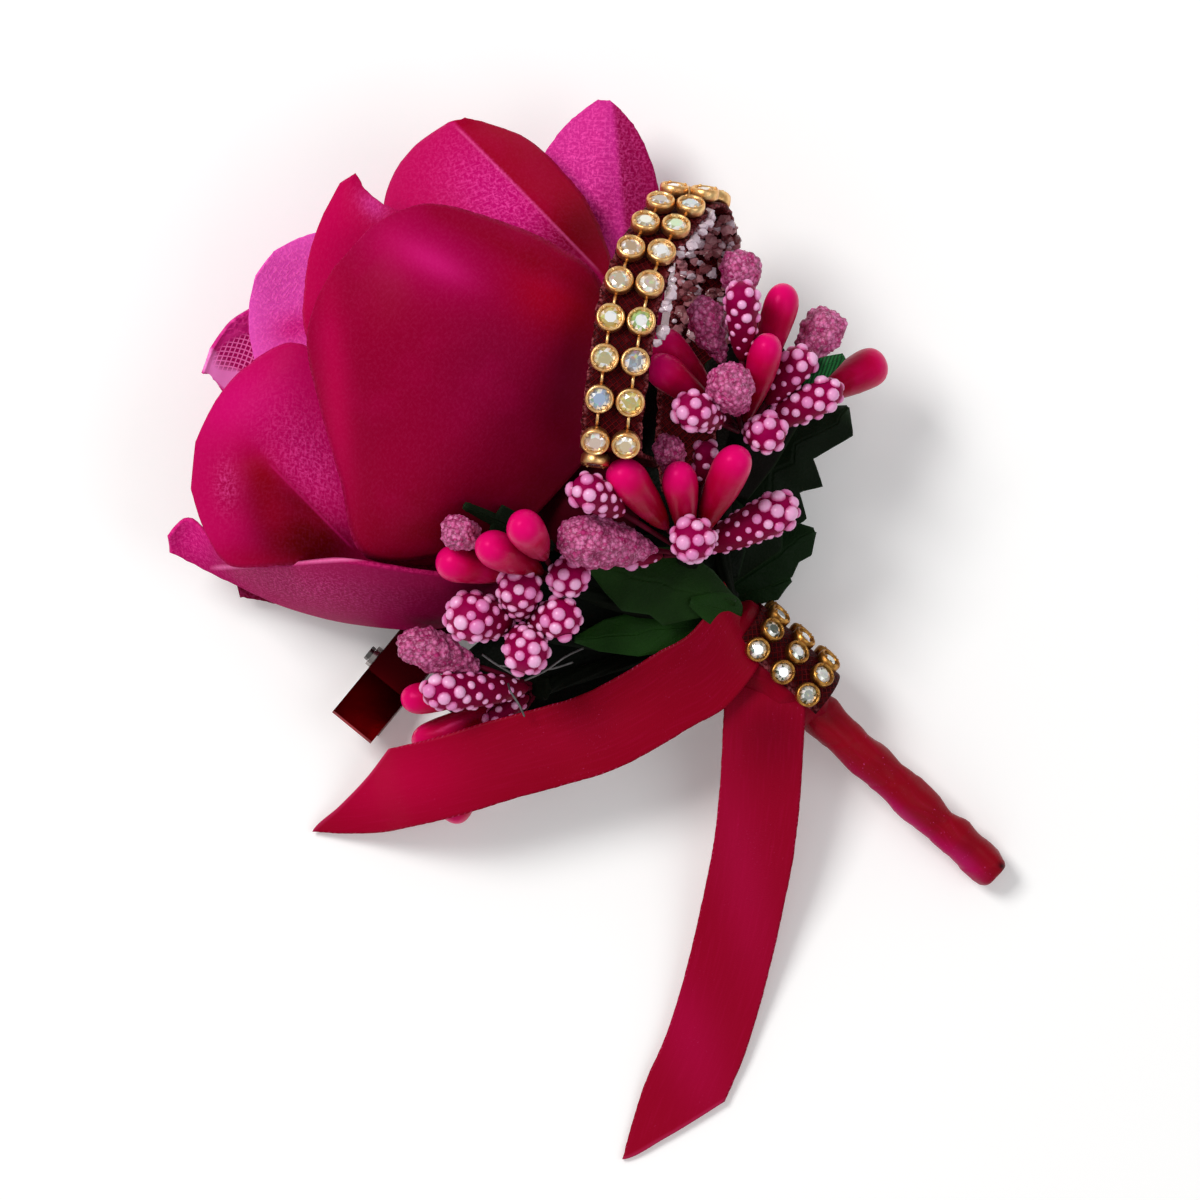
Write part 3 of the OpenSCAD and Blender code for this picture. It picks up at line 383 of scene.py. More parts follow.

# Rows of a petal, from its base to its tip: distance along it, left edge, middle and right edge, and
# their three heights, as shares of the rose's reach, half width and depth. A crease has the place of its
# ridge at the base and at the tip, from -1 to 1 across the petal, and its rise in mm.
# Each petal's base colour is partly painted light: petals that face the lamp or let it through are given
# paler, pinker bases, and the under petal a deeper red one.
petals = {
    "front": {
        "turn": 138, "high": 36, "base": (142, 0, 44),
        "rows": [(0.07, -0.22, -0.02, 0.20, 0.585, 0.60, 0.59),
                 (0.17, -0.68, -0.08, 0.42, 0.60, 0.74, 0.66),
                 (0.31, -0.97, -0.03, 0.88, 0.63, 0.91, 0.70),
                 (0.47, -0.76, 0.06, 0.88, 0.69, 0.985, 0.77),
                 (0.62, -0.55, 0.10, 0.76, 0.77, 1.00, 0.83),
                 (0.74, -0.36, 0.14, 0.62, 0.84, 0.96, 0.88),
                 (0.79, -0.18, 0.15, 0.47, 0.88, 0.92, 0.90),
                 (0.815, 0.04, 0.17, 0.30, 0.89, 0.90, 0.895)],
        # Painted light and shade: a paler band down the left side, a painted highlight under the top rim, a
        # painted shadow line along that rim, and darker red towards the right, the lower right and the
        # bottom.
        "paint": [("spot", (500, 385), (90, 120), 0, (126, 0, 50), 0.6),
                  ("spot", (334, 400), (20, 150), 4, (184, 2, 70), 0.8),
                  ("spot", (575, 500), (110, 130), 0, (122, 0, 26), 0.8),
                  ("spot", (440, 545), (120, 60), 0, (120, 0, 12), 0.75),
                  ("spot", (560, 300), (80, 40), -24, (166, 0, 22), 0.85),
                  ("line", (420, 206), (612, 296), 20, (134, 0, 18), 0.75),
                  ("spot", (420, 252), (96, 46), -25, (178, 4, 84), 0.75),
                  ("spot", (434, 262), (48, 17), -28, (206, 24, 116), 0.65)],
    },
    "pointed": {
        "turn": 126, "high": 30, "base": (186, 1, 73), "weave": 0.5,
        "rows": [(0.10, -0.15, 0.00, 0.15, 0.53, 0.545, 0.53),
                 (0.25, -0.30, 0.00, 0.32, 0.58, 0.66, 0.63),
                 (0.45, -0.45, 0.00, 0.50, 0.62, 0.77, 0.74),
                 (0.59, -0.56, -0.04, 0.42, 0.63, 0.80, 0.79),
                 (0.71, -0.66, -0.16, 0.27, 0.66, 0.81, 0.80),
                 (0.82, -0.50, -0.18, 0.10, 0.70, 0.81, 0.80),
                 (0.90, -0.30, -0.12, 0.03, 0.75, 0.81, 0.80),
                 (0.96, -0.05, 0.00, 0.03, 0.80, 0.81, 0.80)],
        # A darker patch of painted shade, and a painted highlight near the tip.
        "paint": [("spot", (322, 440), (40, 120), 0, (160, 0, 50), 0.8),
                  ("spot", (374, 206), (20, 13), -45, (208, 50, 134), 0.9)],
        "wovenAt": [("spot", (374, 206), (26, 18), -45)],
    },
    "top": {
        "turn": 108.4, "high": 23, "base": (186, 8, 84), "weave": 0.8, "crease": (1.2, -0.1, 1.4),
        "rows": [(0.13, -0.14, 0.00, 0.16, 0.48, 0.495, 0.48),
                 (0.29, -0.20, 0.12, 0.45, 0.52, 0.58, 0.50),
                 (0.50, -0.32, 0.10, 0.52, 0.55, 0.66, 0.50),
                 (0.67, -0.50, 0.00, 0.51, 0.55, 0.67, 0.48),
                 (0.79, -0.53, -0.05, 0.42, 0.52, 0.63, 0.45),
                 (0.88, -0.44, -0.06, 0.31, 0.50, 0.58, 0.45),
                 (0.945, -0.26, -0.05, 0.14, 0.50, 0.54, 0.47),
                 (0.975, -0.04, 0.00, 0.03, 0.51, 0.52, 0.51)],
        # Painted light and shade: one side of the crease lit pink, the other dark red with a darker patch,
        # and a painted highlight along the crease.
        "paint": [("beside", (600, 272), (460, 126), 8, (212, 16, 122), 1.0, ((505, 205), (85, 60), -46)),
                  ("beside", (452, 118), (600, 272), 3, (158, 0, 34), 0.95),
                  ("spot", (575, 235), (40, 60), -40, (112, 0, 8), 0.8),
                  ("line", (452, 122), (602, 274), 2.2, (240, 96, 160), 0.5)],
        "wovenAt": [("beside", (600, 272), (456, 122), 4, None, 1, ((505, 205), (90, 64), -46))],
    },
    "right": {
        "turn": 87.5, "high": 13, "base": (222, 52, 152), "weave": 0.9, "crease": (0.1, 0.0, 1.0),
        "rows": [(0.15, -0.15, 0.00, 0.15, 0.34, 0.347, 0.34),
                 (0.30, -0.34, 0.00, 0.30, 0.33, 0.36, 0.32),
                 (0.50, -0.42, 0.00, 0.36, 0.33, 0.38, 0.31),
                 (0.70, -0.40, 0.00, 0.34, 0.32, 0.37, 0.30),
                 (0.82, -0.32, 0.00, 0.28, 0.31, 0.35, 0.30),
                 (0.91, -0.20, 0.00, 0.19, 0.31, 0.33, 0.31),
                 (0.96, -0.09, 0.00, 0.10, 0.32, 0.33, 0.32),
                 (0.985, -0.02, 0.01, 0.04, 0.33, 0.33, 0.33)],
        # Painted shade: one side and a spot near the tip darker.
        "paint": [("beside", (612, 90), (628, 265), 6, (156, 2, 72), 0.95),
                  ("spot", (590, 235), (20, 50), -24, (166, 6, 84), 0.8)],
        "wovenAt": [("spot", (590, 180), (90, 130), 0)],
    },
    "round": {
        "turn": 144, "high": 16, "base": (255, 96, 208), "weave": 0.8,
        "rows": [(0.155, -0.15, 0.00, 0.15, 0.39, 0.395, 0.39),
                 (0.32, -0.42, 0.00, 0.42, 0.38, 0.40, 0.38),
                 (0.55, -0.60, 0.00, 0.58, 0.38, 0.415, 0.39),
                 (0.75, -0.55, 0.00, 0.56, 0.39, 0.42, 0.41),
                 (0.87, -0.38, 0.00, 0.42, 0.41, 0.435, 0.43),
                 (0.94, -0.20, 0.02, 0.24, 0.44, 0.46, 0.45),
                 (0.97, -0.05, 0.03, 0.10, 0.47, 0.475, 0.47)],
        "paint": [("spot", (296, 328), (34, 22), 15, (232, 22, 144), 0.9)],
        "wovenAt": [("spot", (290, 290), (80, 100), 0)],
    },
    "folded": {
        "turn": 159, "high": 11, "base": (216, 40, 140), "weave": 1.0, "crease": (-0.2, -0.3, 0.8),
        "pitch": 0.62,
        "rows": [(0.15, -0.15, 0.00, 0.15, 0.34, 0.347, 0.34),
                 (0.32, -0.42, 0.00, 0.42, 0.30, 0.32, 0.32),
                 (0.56, -0.58, 0.00, 0.58, 0.26, 0.29, 0.29),
                 (0.77, -0.54, 0.00, 0.54, 0.26, 0.28, 0.30),
                 (0.89, -0.20, 0.06, 0.40, 0.28, 0.29, 0.32),
                 (0.96, -0.08, 0.04, 0.24, 0.32, 0.33, 0.35),
                 (0.985, -0.08, 0.00, 0.05, 0.34, 0.35, 0.36)],
        # A painted highlight along the folded edge, made bright enough to show in its shade, and a darker
        # spot beside it.
        "paint": [("spot", (264, 362), (40, 18), 20, (176, 6, 80), 0.95),
                  ("line", (196, 350), (246, 392), 13, (255, 140, 220), 4)],
        "wovenAt": [("spot", (248, 318), (44, 26), 10)], "netAt": ("spot", (244, 352), (40, 21), 22),
    },
    "left": {
        "turn": 174.5, "high": 22, "base": (186, 5, 84), "weave": 0.6, "crease": (0.3, -0.1, -1.6),
        "rows": [(0.15, -0.14, 0.00, 0.14, 0.47, 0.495, 0.49),
                 (0.27, -0.35, -0.03, 0.25, 0.48, 0.54, 0.54),
                 (0.46, -0.42, -0.05, 0.32, 0.50, 0.62, 0.58),
                 (0.63, -0.45, 0.05, 0.58, 0.52, 0.63, 0.60),
                 (0.74, -0.48, 0.10, 0.68, 0.54, 0.64, 0.60),
                 (0.84, -0.50, 0.04, 0.54, 0.54, 0.62, 0.57),
                 (0.905, -0.34, 0.03, 0.36, 0.54, 0.58, 0.55),
                 (0.95, -0.12, 0.00, 0.12, 0.53, 0.54, 0.54)],
        # Painted light and shade: a lit patch above, the pocket by the crease in painted shade, one side of
        # the crease lit pink, and a painted highlight along the crease.
        "paint": [("spot", (245, 402), (66, 40), 15, (202, 6, 106), 0.8),
                  ("spot", (264, 560), (90, 20), 0, (156, 0, 44), 0.85),
                  ("spot", (264, 478), (38, 20), -52, (156, 0, 32), 0.95),
                  ("spot", (296, 524), (74, 44), -38, (102, 0, 4), 1.4),
                  ("spot", (316, 546), (60, 26), -4, (84, 0, 2), 1.1),
                  ("spot", (270, 506), (22, 50), 14, (130, 0, 22), 0.8),
                  ("beside", (250, 440), (352, 546), 4, (186, 8, 94), 1.0, ((312, 462), (44, 76), 32)),
                  ("line", (268, 462), (354, 550), 1.8, (214, 30, 120), 0.35)],
        "wovenAt": [("beside", (250, 440), (352, 546), 4, None, 1, ((312, 462), (44, 76), 32)),
                    ("spot", (226, 486), (14, 30), 0)],
    },
    "bottom": {
        "turn": 186.2, "high": 16, "base": (168, 14, 86), "weave": 0.6,
        "rows": [(0.17, -0.40, -0.36, -0.26, 0.27, 0.38, 0.48),
                 (0.27, -0.52, -0.47, -0.32, 0.23, 0.42, 0.60),
                 (0.42, -0.56, -0.50, -0.26, 0.21, 0.43, 0.67),
                 (0.60, -0.49, -0.40, -0.16, 0.20, 0.40, 0.65),
                 (0.75, -0.37, -0.28, -0.15, 0.20, 0.33, 0.49),
                 (0.87, -0.22, -0.16, -0.10, 0.22, 0.28, 0.37),
                 (0.96, -0.10, 0.02, 0.14, 0.24, 0.28, 0.34),
                 (1.02, -0.02, 0.02, 0.06, 0.29, 0.30, 0.32)],
        # Painted light: a lit lobe and a painted highlight along the upper rim; darker towards the right.
        "paint": [("spot", (440, 600), (110, 60), 0, (108, 0, 44), 0.95),
                  ("spot", (190, 532), (46, 38), 0, (226, 24, 132), 1.1),
                  ("line", (206, 568), (372, 558), 3.4, (244, 120, 180), 0.9)],
        "wovenAt": [("spot", (188, 534), (50, 40), 0), ("spot", (300, 586), (110, 26), -10)],
    },
    "under": {
        "turn": 194, "high": 5, "base": (120, 4, 44), "weave": 0.3,
        "rows": [(0.20, -0.30, -0.12, 0.02, 0.215, 0.235, 0.24),
                 (0.45, -0.36, -0.12, 0.10, 0.13, 0.135, 0.13),
                 (0.66, -0.27, -0.09, 0.10, 0.08, 0.09, 0.09),
                 (0.80, -0.11, 0.00, 0.12, 0.08, 0.09, 0.10),
                 (0.88, -0.03, 0.02, 0.06, 0.09, 0.095, 0.10)],
        "wovenAt": [("spot", (300, 600), (200, 200), 0)],
    },
    "back_left": {
        "turn": 168, "high": 6, "base": (176, 10, 80), "weave": 0.5,
        "rows": [(0.13, -0.14, 0.00, 0.14, 0.285, 0.29, 0.285),
                 (0.28, -0.40, 0.00, 0.40, 0.235, 0.255, 0.235),
                 (0.50, -0.58, 0.00, 0.58, 0.20, 0.20, 0.20),
                 (0.72, -0.56, 0.00, 0.56, 0.17, 0.15, 0.17),
                 (0.85, -0.40, 0.00, 0.40, 0.16, 0.14, 0.16),
                 (0.92, -0.15, 0.00, 0.15, 0.17, 0.16, 0.17)],
        "wovenAt": [("spot", (300, 400), (300, 300), 0)],
    },
    "back_middle": {
        "turn": 140, "high": 4, "base": (176, 10, 80), "weave": 0.5,
        "rows": [(0.10, -0.14, 0.00, 0.14, 0.22, 0.225, 0.22),
                 (0.25, -0.38, 0.00, 0.38, 0.15, 0.17, 0.15),
                 (0.50, -0.55, 0.00, 0.55, 0.09, 0.07, 0.09),
                 (0.72, -0.52, 0.00, 0.52, 0.05, 0.02, 0.05),
                 (0.85, -0.36, 0.00, 0.36, 0.05, 0.03, 0.05),
                 (0.91, -0.15, 0.00, 0.15, 0.07, 0.06, 0.07)],
        "wovenAt": [("spot", (400, 300), (300, 300), 0)],
    },
    "back_right": {
        "turn": 113, "high": 5, "base": (176, 10, 80), "weave": 0.5,
        "rows": [(0.13, -0.14, 0.00, 0.14, 0.255, 0.257, 0.255),
                 (0.28, -0.36, 0.00, 0.38, 0.185, 0.20, 0.195),
                 (0.50, -0.50, 0.00, 0.50, 0.14, 0.14, 0.155),
                 (0.72, -0.52, 0.00, 0.46, 0.12, 0.11, 0.14),
                 (0.85, -0.36, 0.00, 0.32, 0.12, 0.11, 0.15),
                 (0.92, -0.15, 0.00, 0.15, 0.14, 0.14, 0.16)],
        "wovenAt": [("spot", (500, 250), (300, 300), 0)],
    },
    "bud_upper": {
        "turn": 138, "high": 25, "base": (176, 4, 70), "weave": 0.4,
        "rows": [(0.24, -0.06, 0.00, 0.06, 0.50, 0.505, 0.50),
                 (0.36, -0.14, 0.00, 0.12, 0.53, 0.57, 0.53),
                 (0.50, -0.20, 0.00, 0.19, 0.57, 0.65, 0.58),
                 (0.66, -0.23, 0.00, 0.24, 0.61, 0.69, 0.62),
                 (0.77, -0.18, 0.00, 0.18, 0.64, 0.68, 0.65),
                 (0.82, -0.08, 0.00, 0.08, 0.66, 0.67, 0.66)],
        "wovenAt": [("spot", (400, 300), (300, 300), 0)],
    },
    "bud_lower": {
        "turn": 138, "high": 18, "base": (176, 4, 70), "weave": 0.4,
        "rows": [(0.20, -0.06, 0.00, 0.06, 0.43, 0.43, 0.43),
                 (0.34, -0.15, 0.00, 0.15, 0.455, 0.44, 0.455),
                 (0.50, -0.23, 0.00, 0.23, 0.49, 0.45, 0.49),
                 (0.66, -0.24, 0.00, 0.24, 0.52, 0.46, 0.52),
                 (0.77, -0.18, 0.00, 0.18, 0.53, 0.49, 0.53),
                 (0.82, -0.08, 0.00, 0.08, 0.53, 0.51, 0.53)],
        "wovenAt": [("spot", (400, 300), (300, 300), 0)],
    },
}


def petalPoint(petal, t, v):
    turn = math.radians(petal["turn"])
    along, left, middle, right, leftHigh, middleHigh, rightHigh = track(petal["rows"], t)
    along *= rose["reach"]
    aside = arch(left, middle, right, v) * rose["half"]
    high = arch(leftHigh, middleHigh, rightHigh, v) * rose["depth"]
    first, last, rise = petal.get("crease", (0, 0, 0))
    ridge = first + (last - first) * t
    high += rise * max(0, 1 - abs(v - ridge) / 0.7) * math.sin(math.pi * min(1, 1.1 * t))
    return Vector((rose["base"][0] + along * math.cos(turn) + aside * math.sin(turn),
                   rose["base"][1] + along * math.sin(turn) - aside * math.cos(turn), high))


def petalCloth(petal):
    def shape(t, v):
        here = petalPoint(petal, t, v)
        rim = max(abs(v), t) ** 12
        sway = noise.noise(here * 0.9) * rose["flutter"] * rim
        fine = noise.noise(here * 3.1 + Vector((7, 3, 1))) * rose["flutter"] * 0.5 * rim
        side = petalPoint(petal, t, min(1, v + 0.02)) - petalPoint(petal, t, max(-1, v - 0.02))
        if side.length > 1e-6:
            here = here + side.normalized() * math.copysign(sway + fine, v) * min(1, abs(v) * 3)
        here.z += noise.noise(here * 0.16 + Vector((petal["turn"], 0, 0))) * rose["sag"]
        return here
    return clothGrid(*rose["cells"], shape)


def petalFinish(name, petal):
    finish = Finish("satin " + name, {"Roughness": 0.5, "Sheen Weight": 0.04, "Sheen Roughness": 0.4,
                                      "Sheen Tint": dye(255, 60, 150), "IOR": 1.08})
    colour = finish.painted(dye(*petal["base"]), petal.get("paint", ()), petal["high"])
    threads = finish.map("threads")
    weave = finish.woven(threads, petal.get("pitch", 0.36))
    shown = 0.05
    # The weave shows where the wovenAt strokes lie, mostly on sides that face the lamp, and its pale threads
    # lighten the cloth there: the cloth's own weave, with painted highlight.
    for stroke in petal.get("wovenAt", ()):
        shown = finish.boundMask(stroke, petal["high"]) * petal["weave"] + shown
    lighter = finish.mix(0.5, finish.mix(1.0, colour, (1.3, 1.3, 1.3, 1), "MULTIPLY"), dye(248, 96, 184))
    darker = finish.mix(1.0, colour, (0.76, 0.5, 0.74, 1), "MULTIPLY")
    factor = shown.clamped() if isinstance(shown, Signal) else shown
    colour = finish.mix(factor, colour, finish.mix(weave, darker, lighter))
    if "netAt" in petal:
        lines = finish.netted(threads, 0.58, 0.5)
        place = finish.brushMask(petal["netAt"], petal["high"]).step(0.3, 0.5)
        colour = finish.mix(place * 0.85, colour, finish.mix(lines, dye(158, 4, 84), dye(255, 128, 204)))
    cloud = finish.noise(finish.place(), 7.0, 3)
    colour = finish.mix((cloud - 0.5).clamped() * 0.4, colour, dye(206, 8, 100))
    fluff = finish.noise(finish.stretched(finish.place(), 1, 2.4), 0.55, 3, 0.7).step(0.7, 0.76)
    patches = finish.noise(finish.place(), 6.0, 2).step(0.5, 0.7)
    colour = finish.mix(fluff * patches * 0.3, colour, dye(236, 70, 150))
    u, t = finish.parts(finish.map("place"))[:2]
    rim = abs(u * 2 - 1).most(t).step(0.975, 0.998)
    ravel = finish.noise(finish.place(), 0.35, 2).step(0.42, 0.62)
    colour = finish.mix(rim * ravel * 0.35, colour, dye(226, 50, 130))
    finish.feed("Base Color", colour)
    finish.feed("Roughness", 0.52 - finish.noise(finish.place(), 3.0, 2) * 0.12)
    finish.relief(weave * shown + finish.noise(finish.place(), 1.6, 3) * 0.3, 0.05)
    return finish


for name, petal in petals.items():
    bm, wide, long = petalCloth(petal)
    area = areaOf(bm)
    piece = addPiece("cloth_petal_" + name, bm, [petalFinish(name, petal)], ["petal_" + name],
                     "petal_cloth", thick=rose["wall"])
    layCloth(area, wide, long)

heart = {
    "near": 0.24,      # its ends, as shares of the rose's reach and depth
    "far": 0.75,
    "nearHigh": 0.468,
    "farHigh": 0.616,
    "radius": 2.45,
    "turns": 2.6,
    "turn": -42,
    "wall": 0.3,
    "cells": (90, 18),
    "swell": [(0, 0.25), (0.15, 0.5), (0.4, 0.9), (0.6, 1), (0.8, 0.85), (0.95, 0.5), (1, 0.3)],
}


def heartEnd(far, high):
    turn = math.radians(heart["turn"])
    return Vector((rose["base"][0] - math.cos(turn) * far * rose["reach"],
                   rose["base"][1] - math.sin(turn) * far * rose["reach"], high * rose["depth"]))


def makeHeart():
    start, end = heartEnd(heart["near"], heart["nearHigh"]), heartEnd(heart["far"], heart["farHigh"])
    place, long = onto(start, end), (end - start).length

    def shape(t, v):
        share = (v + 1) / 2
        turn = share * heart["turns"] * 2 * math.pi
        r = heart["radius"] * between(heart["swell"], t) * (0.3 + 0.7 * share)
        high = long * t * (0.9 + 0.1 * math.sin(turn * 0.5) ** 2)
        return place @ Vector((r * math.cos(turn), r * math.sin(turn), high))
    bm = clothGrid(*heart["cells"], shape)[0]
    finish = petalFinish("heart", petals["bud_upper"])
    addPiece("rolled_heart", bm, [finish], ["rose_heart"], "petal_cloth", thick=heart["wall"])


makeHeart()
print("petals made")


# ---- berries on wire stalks

spray = {
    "stalk": 0.27,
    "knob": 1.2,
    "beadSize": (0.42, 0.86),  # radius of a raised bead at the foot and at the head of a berry, in mm
    "beadGap": 1.78,           # spacing of the beads
    "beadHigh": 0.82,          # height of a bead as a share of its radius
    "crumb": 0.5,              # size of a grain on the sugared berries
    "inset": {"smooth": 0, "dotted": 0.4, "sugared": 0.1},  # how far the skin lies below the beads or grains
    # how far a berry runs down its stalk, in half lengths, and how much it narrows on the way
    "foot": {"smooth": 2.3, "dotted": 2.5, "sugared": 1.7},
    "taper": {"smooth": 0.34, "dotted": 0.2, "sugared": 0.3},
}
# Where the stalks of each spray meet
knobs = {"a": (34.4, 20.5, 22), "b": (28.2, 6.6, 21), "c": (13.6, 3.4, 18.6), "d": (11.0, -8.8, 9.8),
         "e": (8.8, -1.2, 18.4)}
# Middle, length and width of each berry
berries = {
    "a_smooth": [(38.3, 33.8, 24, 8, 4), (26.6, 29.4, 26, 7.5, 4), (26.2, 26.8, 29.5, 7.5, 4),
                 (36.6, 28.6, 27.5, 7.5, 3.8), (48.2, 27.8, 13.5, 7, 4.6)],
    "a_dotted": [(34.2, 35.2, 30, 6.2, 4.6), (28.7, 22.9, 33, 5.6, 5), (37.0, 20.5, 27.8, 5.4, 5),
                 (40.6, 28.4, 24, 5, 4.6), (42.3, 24.3, 22.5, 8.6, 4.8)],
    "a_sugared": [(34.0, 39.0, 24, 5.4, 4.8), (30.3, 33.2, 25.5, 6.2, 4.2), (32.9, 25.6, 31, 6.4, 5.4),
                  (43.6, 32.4, 19, 5.6, 5.2)],
    "b_smooth": [(21.6, 14.5, 31.5, 8, 4.5), (27.2, 14.1, 29, 7.6, 4), (32.5, 15.5, 29, 8.6, 4.4)],
    "b_dotted": [(30.1, 18.2, 25.5, 3.6, 3.4), (16.8, 13.6, 34.4, 5.4, 4.8), (28.6, 8.3, 28.5, 5.6, 5.6),
                 (36.9, 10.8, 22, 9, 5.4), (21.6, 6.4, 23.5, 3.4, 3.2)],
    "b_sugared": [(25.9, 18.2, 27.6, 4.4, 3.8), (17.4, 8.0, 28.5, 10, 6.2)],
    "c_smooth": [(9.8, 9.0, 35.5, 8, 4.3), (6.7, 6.8, 30.6, 8.4, 4.3), (2.4, 5.4, 26.6, 7, 4.3)],
    "c_dotted": [(14.3, 4.0, 25.4, 6, 5.2)],
    "c_sugared": [(1.9, 9.0, 30.5, 4.4, 4)],
    "d_smooth": [(-1.8, -10.0, 10.5, 7, 3.6), (-0.4, -14.2, 6.6, 8, 4), (1.4, -22.3, 6, 5, 4)],
    "d_dotted": [(1.2, -9.2, 15.4, 9, 5), (6.2, -12.2, 10, 4.2, 3.2)],
    "d_sugared": [(-1.8, -4.4, 16, 8, 5)],
    "e_dotted": [(8.7, 2.5, 24.8, 6, 5.6), (3.4, -0.6, 24, 7, 6.4), (13.3, -0.7, 24.4, 5.4, 5.4),
                 (9.4, -4.3, 23.5, 6.8, 5.8)],
}


def glossFinish():
    finish = Finish("berry gloss", {"Roughness": 0.28, "IOR": 1.3, "Specular IOR Level": 0.6,
                                    "Specular Tint": dye(255, 96, 178)})
    along = finish.own("along")
    # Dark red at the foot to magenta at the head: partly the berries' own colour, partly painted shade where
    # they crowd at the foot and a painted highlight on the heads.
    colour = finish.mix(along.step(0.2, 0.62), dye(128, 0, 16), dye(190, 0, 62))
    colour = finish.mix(along.step(0.6, 0.95), colour, dye(228, 6, 106))
    cloud = finish.noise(finish.place(), 2.6, 3)
    colour = finish.mix(cloud.step(0.45, 0.8) * 0.3, colour, dye(222, 8, 110))
    finish.feed("Base Color", colour)
    finish.feed("Roughness", 0.22 + cloud * 0.16)
    finish.relief(finish.noise(finish.place(), 0.9, 2), 0.05)
    return finish


def coreFinish():
    finish = Finish("berry under the beads", {"Roughness": 0.5, "Specular IOR Level": 0.15,
                                              "Specular Tint": dye(255, 110, 190)})
    cloud = finish.noise(finish.place(), 0.8, 3)
    colour = finish.mix(finish.own("along").step(0.1, 0.8), dye(104, 0, 22), dye(150, 0, 70))
    finish.feed("Base Color", finish.mix(cloud * 0.5, colour, dye(112, 0, 54)))
    finish.relief(cloud, 0.08)
    return finish


def beadFinish():
    finish = Finish("raised beads", {"Roughness": 0.32, "Specular IOR Level": 0.5})
    shade, rise = finish.own("shade"), finish.own("along")
    colour = finish.mix(shade, dye(228, 128, 190), dye(252, 196, 234))
    # Darker magenta round each bead's foot and pale on its top: painted shade.
    colour = finish.mix(rise.step(0.1, 0.6), dye(196, 46, 120), colour)
    cloud = finish.noise(finish.place(), 0.5, 2)
    finish.feed("Base Color", finish.mix(cloud * 0.4, colour, dye(226, 124, 192)))
    finish.relief(cloud, 0.04)
    return finish


def crumbFinish():
    finish = Finish("sugared berry", {"Roughness": 0.4, "Specular IOR Level": 0.3})
    grain = finish.parts(finish.cells(finish.place(), spray["crumb"], out="Color"))[0]
    far = finish.cells(finish.place(), spray["crumb"])
    colour = finish.mix(grain, dye(190, 36, 116), dye(236, 128, 186))
    colour = finish.mix(far.step(0.25, 0.7) * 0.75, colour, dye(116, 0, 58))
    # Pale pink flecks on the fine grains: painted glints on the sugar.
    fine = finish.noise(finish.place(), 0.22, 2)
    colour = finish.mix(fine.step(0.55, 0.7) * 0.5, colour, dye(246, 176, 216))
    finish.feed("Base Color", colour)
    finish.relief(fine - far, 0.08)
    return finish


def beadTemplate():
    bm = bmesh.new()
    flat = spray["beadHigh"]
    bmesh.ops.create_uvsphere(bm, u_segments=10, v_segments=6, radius=1)
    low = [vert for vert in bm.verts if vert.co.z < -0.2]
    bmesh.ops.delete(bm, geom=low, context="VERTS")
    bmesh.ops.scale(bm, vec=(1, 1, flat), verts=bm.verts)
    for face in bm.faces:
        face.material_index = 2
        face.smooth = True
    layer = bm.verts.layers.float.new("along")  # 1 on the top of a bead, 0 at its foot
    for vert in bm.verts:
        vert[layer] = max(0, vert.co.z / flat)
    return templateFrom(bm, "bead")


beadShape = beadTemplate()
goldenTurn = math.pi * (3 - 5 ** 0.5)  # turns that never line up


def addStalk(bm, long, toKnob):  # from the berry's lower end down to the knob
    start, end = -long, spray["knob"] - toKnob
    if start - end > 0.2:
        made = bmesh.ops.create_cone(bm, cap_ends=True, segments=8, radius1=spray["stalk"],
                                     radius2=spray["stalk"] * 1.25, depth=start - end,
                                     matrix=Matrix.Translation((0, 0, (start + end) / 2)))
        for face in {face for vert in made["verts"] for face in vert.link_faces}:
            face.material_index = 1


def addBeads(one, skin, rng):  # spaced alike over the skin, down from the top
    slices, spread, total = 80, [], 0
    for k in range(slices + 1):
        z = 1 - 2 * k / slices
        width, high = skin(z)
        here = (width * max(0, 1 - z * z) ** 0.5, high)
        if k:
            total += math.pi * (here[0] + last[0]) * math.dist(here, last)
        spread.append((total, z))
        last = here
    small, big = spray["beadSize"]
    gap = spray["beadGap"]
    spin, done = rng.random() * 6.28, 0.6 * gap ** 2
    k = 0
    while done < total * 0.97:
        z = between(spread, done)
        ahead = min(1, z + 0.02)
        size = (small + (big - small) * min(1, max(0, 0.6 + z))) * rng.uniform(0.68, 1.14)
        turn = spin + k * goldenTurn + rng.uniform(-0.12, 0.12)
        (width, high), (wider, higher) = skin(z), skin(ahead)
        thick, thicker = width * (1 - z * z) ** 0.5, wider * max(0, 1 - ahead ** 2) ** 0.5
        ring = Vector((math.cos(turn), math.sin(turn), 0))
        slope = Vector((higher - high, 0, thick - thicker)).normalized()
        at = ring * thick + Vector((0, 0, high))
        normal = ring * slope.x + Vector((0, 0, slope.z))
        matrix = onto(at - normal * 0.12, at + normal) @ Matrix.Diagonal((size, size, size, 1))
        shine = rng.random()
        stamp(one, beadShape, matrix, {"shade": ("FLOAT", "POINT", lambda: shine)})
        done += (gap * (0.72 + 0.28 * size / big)) ** 2
        k += 1


